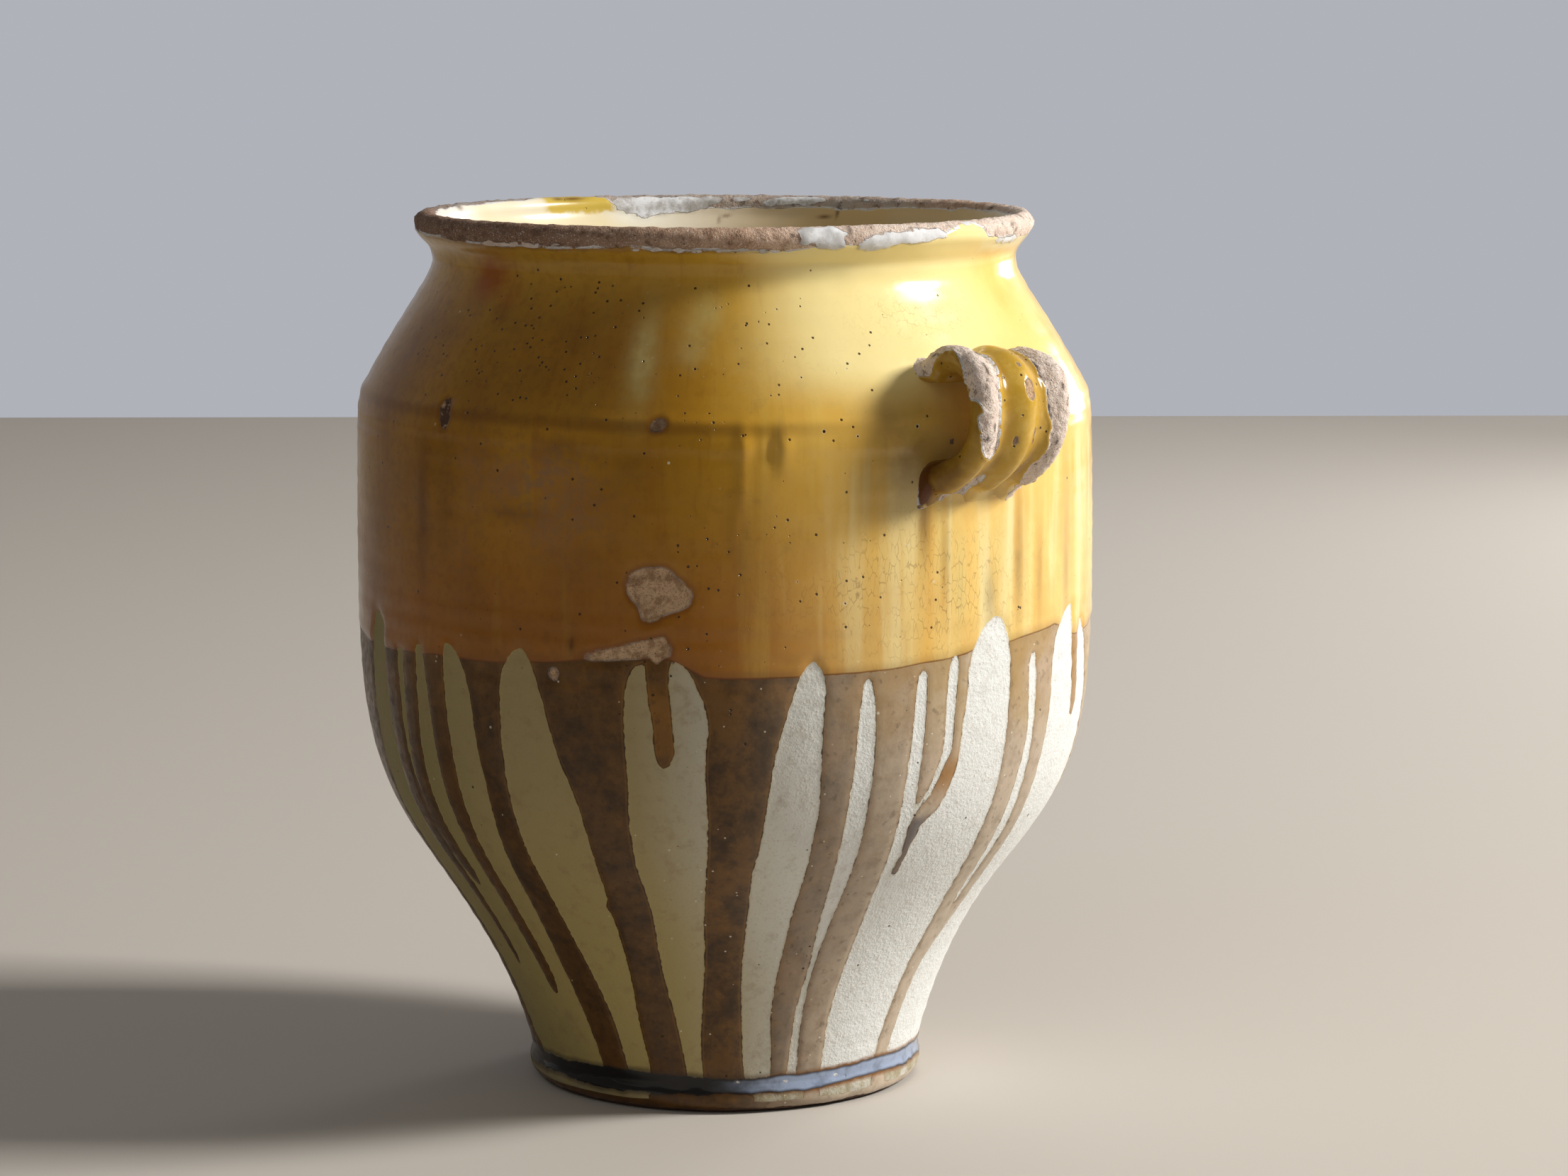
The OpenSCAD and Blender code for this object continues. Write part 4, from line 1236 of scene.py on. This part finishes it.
# single pits burst in the glaze: dark holes with a paler edge, as angle, height and mm across; towards the
# right the paler edge is a painted highlight
glazePits = [(-0.6, 292.5, 1.6), (3.6, 286.6, 1.5), (9.2, 291.7, 1.5), (-4.7, 272.5, 2.0), (12, 269.5, 1.6),
             (7, 263.9, 1.4), (19.7, 272, 1.4), (14.6, 252, 1.6), (19.7, 250, 1.4), (-2.1, 254, 1.6),
             (-5.9, 258.2, 1.6), (3.2, 290.5, 1.2), (-11.7, 244.9, 1.4), (-35.5, 236.7, 1.6),
             (10.4, 201.2, 1.6), (-0.1, 201.5, 1.4), (-8.1, 216.3, 1.4), (17.6, 193.1, 1.8),
             (32.1, 198.6, 1.4), (27.7, 211.9, 1.4), (-37, 277, 2.2), (-34, 281, 1.6), (-29, 271, 1.6),
             (-40, 284, 1.4), (38.5, 243.2, 2.6), (29.5, 252.4, 1.6), (64.8, 104.8, 2.4)]


def fromPits():
    # distance from the nearest burst pit: 1 where the mm from its middle are its width over 2.3
    far = 9.0
    for angle, z, wide in glazePits:
        a, out = math.radians(angle + viewTurn), float(wallRadius(z)) * mm
        away = vectors("DISTANCE", place, (out * math.cos(a), out * math.sin(a), z * mm), "Value")
        far = calc("MINIMUM", far, calc("MULTIPLY", away, 2300 / wide))
    return far


farPit = scaled(wiggle, 0.8, fromPits())
pitHole = step(farPit, 0.8, 0.5)
pitEdge = times(step(farPit, 1.35, 1.0), less(1.0, pitHole))

# the wall: the glazes where they lie, with their pits, the pool over them and the inside
isYellow = step(scaled(wiggle, 0.9, yellowAt), -0.12, 0.12)
isBrown = step(scaled(wiggle, 1.5, brownAt), -0.14, 0.14)
wallTone = laid(
    creamTone,
    (isBrown, blend(isYellow, brownTone, yellowTone)),
    (calc("MAXIMUM", times(darkPits, 0.85), times(darkPitsMiddle, 0.9)), "speck"),
    (times(darkPitsSmall, isBrown, 0.7), "speck"),
    (times(lightPits, step(lightTone, 0.2, 0.9, 0.25, 0.8)), "white_speck_and_glint"),
    (times(lightPitsSmall, between(isYellow, 0.75, 0.12)), "white_speck_and_glint"),
    # painted highlight: paler edges of the burst pits on the lit right side
    (times(pitEdge, rightSide, 0.5), "white_speck_and_glint"),
    (pitHole, "speck"),
    (poolSoft, "brown_dark"),
    (times(step(poolAt, -1.6, -0.2), rightSide, 0.7), "pool_edge"),
    (isPool, poolTone),
    (insideAt, insideTone))

# bare clay of the lip and the straps' rolls, and the rougher clay in the chips
rimPits = calc("MAXIMUM", dots(520, 0.15, 0.3, push=11.3)[0], dots(230, 0.1, 0.12, push=17.9)[0])
rimTone = laid(
    "clay",
    (step(mottle, 0.36, 0.62), "clay_dark"),
    (times(leftSide, 1.1), "clay_shade"),
    # painted light: paler clay towards the lit right side
    (times(towards(62, 60), 1.3, step(mottle, 0.3, 0.62, 0.95, 0.6)), "clay_pale"),
    # paler clay on the straps, partly painted light
    (times(onStrap, step(mottle, 0.3, 0.62, 0.9, 0.4)), "clay_pale"),
    (times(step(grit, 0.54, 0.64), 0.6), "clay_dark"),
    (times(step(grit, 0.46, 0.36), 0.6), "clay_pale"),
    (times(towards(196, 84), 1.5, step(mottle, 0.3, 0.6, 0.9, 0.5)), "slip_grey"),
    (times(step(scaled(grit, 0.4, calc("MULTIPLY", small, 0.6)), 0.45, 0.38), 0.7), "clay_pit"),
    (times(rimPits, 0.85), "clay_pit"))
chipTone = laid(
    "chip_clay",
    (step(noise(place, 260, 4, 0.65), 0.42, 0.64), "chip_dark"),
    (times(step(upZ, 0.236, 0.242), leftSide, step(small, 0.36, 0.52), 1.6), "clay_pit"),
    (times(step(grit, 0.46, 0.36), 0.6), "clay_pit"),
    # painted shade: darker just inside the edge of each chip
    (times(step(bareAt, 0.8, 0.2), 0.45), "clay_pit"),
    (times(step(upZ, 0.03, 0.02), 0.8), "slip"))
bareTone = laid(
    chipTone,
    (roughAt, rimTone),
    # brown_patch on bare clay: dark lip marks and small holes, and a painted shadow line along each strap's
    # right roll
    (times(brownPatch, 0.9), "speck"),
    # painted shadow: dark at the very bottom, where the pot stands on the floor
    (step(upZ, 0.004, 0.0025), "clay_pit"))
isBare = step(scaled(wiggle, 1.3, bareAt), -0.08, 0.08)
rimLine = times(step(calc("ABSOLUTE", less(bareAt, 0.1)), 0.55, 0.2), step(cloud, 0.4, 0.52),
                step(small, 0.36, 0.48), scaled(roughAt, 0.8, 0.1), step(upZ, 0.005, 0.008))

# white slip left on the lip, with a dark edge
isSlip = step(scaled(less(mottle, 0.5), 3.2, scaled(wiggle, 2.0, slipAt)), -0.12, 0.12)
slipEdge = times(step(slipAt, 0.7, 0.2), step(slipAt, -0.7, -0.2), step(cloud, 0.46, 0.6), 0.4)
slipTone = laid(
    "slip",
    (times(step(mottle, 0.4, 0.62), between(rightSide, 0.9, 0.2)), "slip_grey"),
    (times(leftSide, 0.6), "clay"),
    (times(step(fine, 0.58, 0.7), 0.3), "clay_dark"))
colour = laid(wallTone, (isBare, bareTone), (rimLine, "slip"), (slipEdge, "clay_pit"), (isSlip, slipTone))

# gloss
brownRough = between(step(small, 0.3, 0.7), gloss["brown"] - 0.06, gloss["brown"] + 0.12)
yellowRough = between(step(cloud, 0.35, 0.75), gloss["yellow"] - 0.03, gloss["yellow"] + 0.12)
roughness = between(isBrown, gloss["cream"], between(isYellow, brownRough, yellowRough))
for amount, finish in ((isPool, "pool"), (insideAt, "inside"), (times(pinkPatch, 0.8), "dusty"),
                       (isBare, "clay"), (isSlip, "slip")):
    roughness = between(amount, roughness, gloss[finish])

# grain, as heights in mm
yellowGrain = calc("MULTIPLY", noise(place, 75, 2), 0.16)
brownGrain = scaled(mottle, 0.12, calc("MULTIPLY", small, 0.12))
creamGrain = scaled(fine, between(rightSide, 0.16, 0.36),
                    scaled(small, between(rightSide, 0.18, 0.3), calc("MULTIPLY", mottle, 0.14)))
clayGrain = scaled(grit, 0.35, scaled(fine, 0.4, scaled(small, 0.8, calc("MULTIPLY", mottle, 0.3))))
clayGrain = scaled(rimPits, -0.5, clayGrain)
grain = between(isBrown, creamGrain, calc("ADD", between(isYellow, brownGrain, yellowGrain), 0.28))
grain = between(isPool, grain, 0.36)
grain = between(insideAt, grain, yellowGrain)
for pits, deep in ((calc("MAXIMUM", darkPits, darkPitsMiddle), 0.35), (darkPitsSmall, 0.15), (pitHole, 0.5)):
    grain = less(grain, calc("MULTIPLY", pits, deep))
grain = between(isBare, grain, calc("MULTIPLY", clayGrain, between(roughAt, 0.5, 1.0)))
grain = between(isSlip, grain, scaled(small, 0.2, 0.45))
bump = node("Bump", {"Strength": 1.0, "Distance": mm, "Height": grain})

surface = node("BsdfPrincipled", {"Base Color": colour, "Roughness": roughness, "Specular IOR Level": reflected,
                                  "Normal": bump.outputs[0]})
node("OutputMaterial", {"Surface": surface.outputs[0]})

for piece in (body, frontStrap, backStrap):
    piece.data.materials.append(clay)
    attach(piece, "root")
    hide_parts("pot")
print("finish")


# floor, wall behind, lamps and camera; bearings from +X, places in metres

view = {"place": (1.2585, -1.0940, 0.4135), "ahead": 139.0, "aside": -0.747, "down": 7.953,
        "lens": 104.89, "sensor": 36.0, "near": 0.05, "far": 30}
room = {"floor": (196, 190, 182), "floorHalf": 8, "backdrop": (176, 178, 186), "wallAway": 2.4, "wallHalf": 7,
        "wallHeight": 4, "roughness": 0.8, "world": (0.96, 0.9, 0.8), "worldStrength": 0.16, "mirrored": 0.3}
lamps = {  # bearing from the photographed side, elevation, distance in metres, size in metres, watts, colour
    "window": (87, 31, 3.4, 0.72, 158.0, (1.0, 0.97, 0.92)),
    "low_window": (142, 6, 2.2, 0.5, 9.0, (1.0, 0.98, 0.95)),
    "fill": (-30, 38, 2.4, 1.8, 4.6, (0.98, 0.98, 1.0)),
}
lampAim = np.array([0, 0, 0.17])  # half way up the pot


def plainSurface(name, points, faces, shade):
    # a matt surface of one colour for the room
    mesh = bpy.data.meshes.new(name)
    mesh.from_pydata(points, [], faces)
    mesh.update()
    plain = bpy.data.materials.new(name)
    plain.use_nodes = True
    shader = plain.node_tree.nodes["Principled BSDF"]
    shader.inputs["Base Color"].default_value = linear(shade)
    shader.inputs["Roughness"].default_value = room["roughness"]
    mesh.materials.append(plain)
    made = bpy.data.objects.new(name, mesh)
    bpy.context.scene.collection.objects.link(made)
    return made


def showPlainly(material, mirrored):
    # the surface shows its own colour to the camera and, by a share, in reflections, whatever light reaches it
    nodes, links = material.node_tree.nodes, material.node_tree.links
    matt = nodes["Principled BSDF"]
    seen = nodes.new("ShaderNodeLightPath")
    glossy = nodes.new("ShaderNodeMath")
    glossy.operation = "MULTIPLY"
    glossy.inputs[1].default_value = mirrored
    either = nodes.new("ShaderNodeMath")
    either.operation = "MAXIMUM"
    shine = nodes.new("ShaderNodeEmission")
    shine.inputs["Color"].default_value = matt.inputs["Base Color"].default_value
    mixed = nodes.new("ShaderNodeMixShader")
    for output, socket in ((seen.outputs["Is Glossy Ray"], glossy.inputs[0]),
                           (seen.outputs["Is Camera Ray"], either.inputs[0]),
                           (glossy.outputs[0], either.inputs[1]), (either.outputs[0], mixed.inputs[0]),
                           (matt.outputs[0], mixed.inputs[1]), (shine.outputs[0], mixed.inputs[2]),
                           (mixed.outputs[0], nodes["Material Output"].inputs["Surface"])):
        links.new(output, socket)


def hangLamp(name, bearing, rise, far, size, watts, tint):
    # a square lamp that looks at the pot's middle from a bearing and an elevation
    lamp = bpy.data.lights.new(name, "AREA")
    lamp.size, lamp.energy, lamp.color = size, watts, tint
    holder = bpy.data.objects.new(name, lamp)
    b, e = math.radians(bearing + viewTurn), math.radians(rise)
    at = np.array([math.cos(b) * math.cos(e), math.sin(b) * math.cos(e), math.sin(e)]) * far + lampAim
    holder.location = at.tolist()
    aim = lampAim - at
    down = math.acos(-aim[2] / np.linalg.norm(aim))
    holder.rotation_euler = (down, 0, math.atan2(aim[1], aim[0]) - math.pi / 2)
    bpy.context.scene.collection.objects.link(holder)
    return holder


ahead = math.radians(view["ahead"])
forward = np.array([math.cos(ahead), math.sin(ahead)])
toRight = np.array([math.sin(ahead), -math.cos(ahead)])
h = room["floorHalf"]
floor = plainSurface("floor", [(-h, -h, 0), (h, -h, 0), (h, h, 0), (-h, h, 0)], [(0, 1, 2, 3)], room["floor"])
wallAt, top = room["wallAway"] * forward, room["wallHeight"]
left, right = wallAt - room["wallHalf"] * toRight, wallAt + room["wallHalf"] * toRight
backdrop = plainSurface("backdrop", [(*left, 0), (*right, 0), (*right, top), (*left, top)], [(3, 2, 1, 0)],
                        room["backdrop"])
showPlainly(backdrop.active_material, room["mirrored"])

world = bpy.data.worlds.new("room")
world.use_nodes = True
world.node_tree.nodes["Background"].inputs[0].default_value = (*room["world"], 1.0)
world.node_tree.nodes["Background"].inputs[1].default_value = room["worldStrength"]
bpy.context.scene.world = world

hung = {name: hangLamp(name, *settings) for name, settings in lamps.items()}
hung["fill"].visible_glossy = False  # it lifts the shade without a reflection

camera = bpy.data.cameras.new("camera")
camera.lens, camera.sensor_width = view["lens"], view["sensor"]
camera.clip_start, camera.clip_end = view["near"], view["far"]
eye = bpy.data.objects.new("camera", camera)
eye.location = view["place"]
eye.rotation_euler = (math.radians(90 - view["down"]), 0, math.radians(view["ahead"] + view["aside"] - 90))
bpy.context.scene.collection.objects.link(eye)
bpy.context.scene.camera = eye
bpy.context.scene.view_settings.view_transform = "Standard"
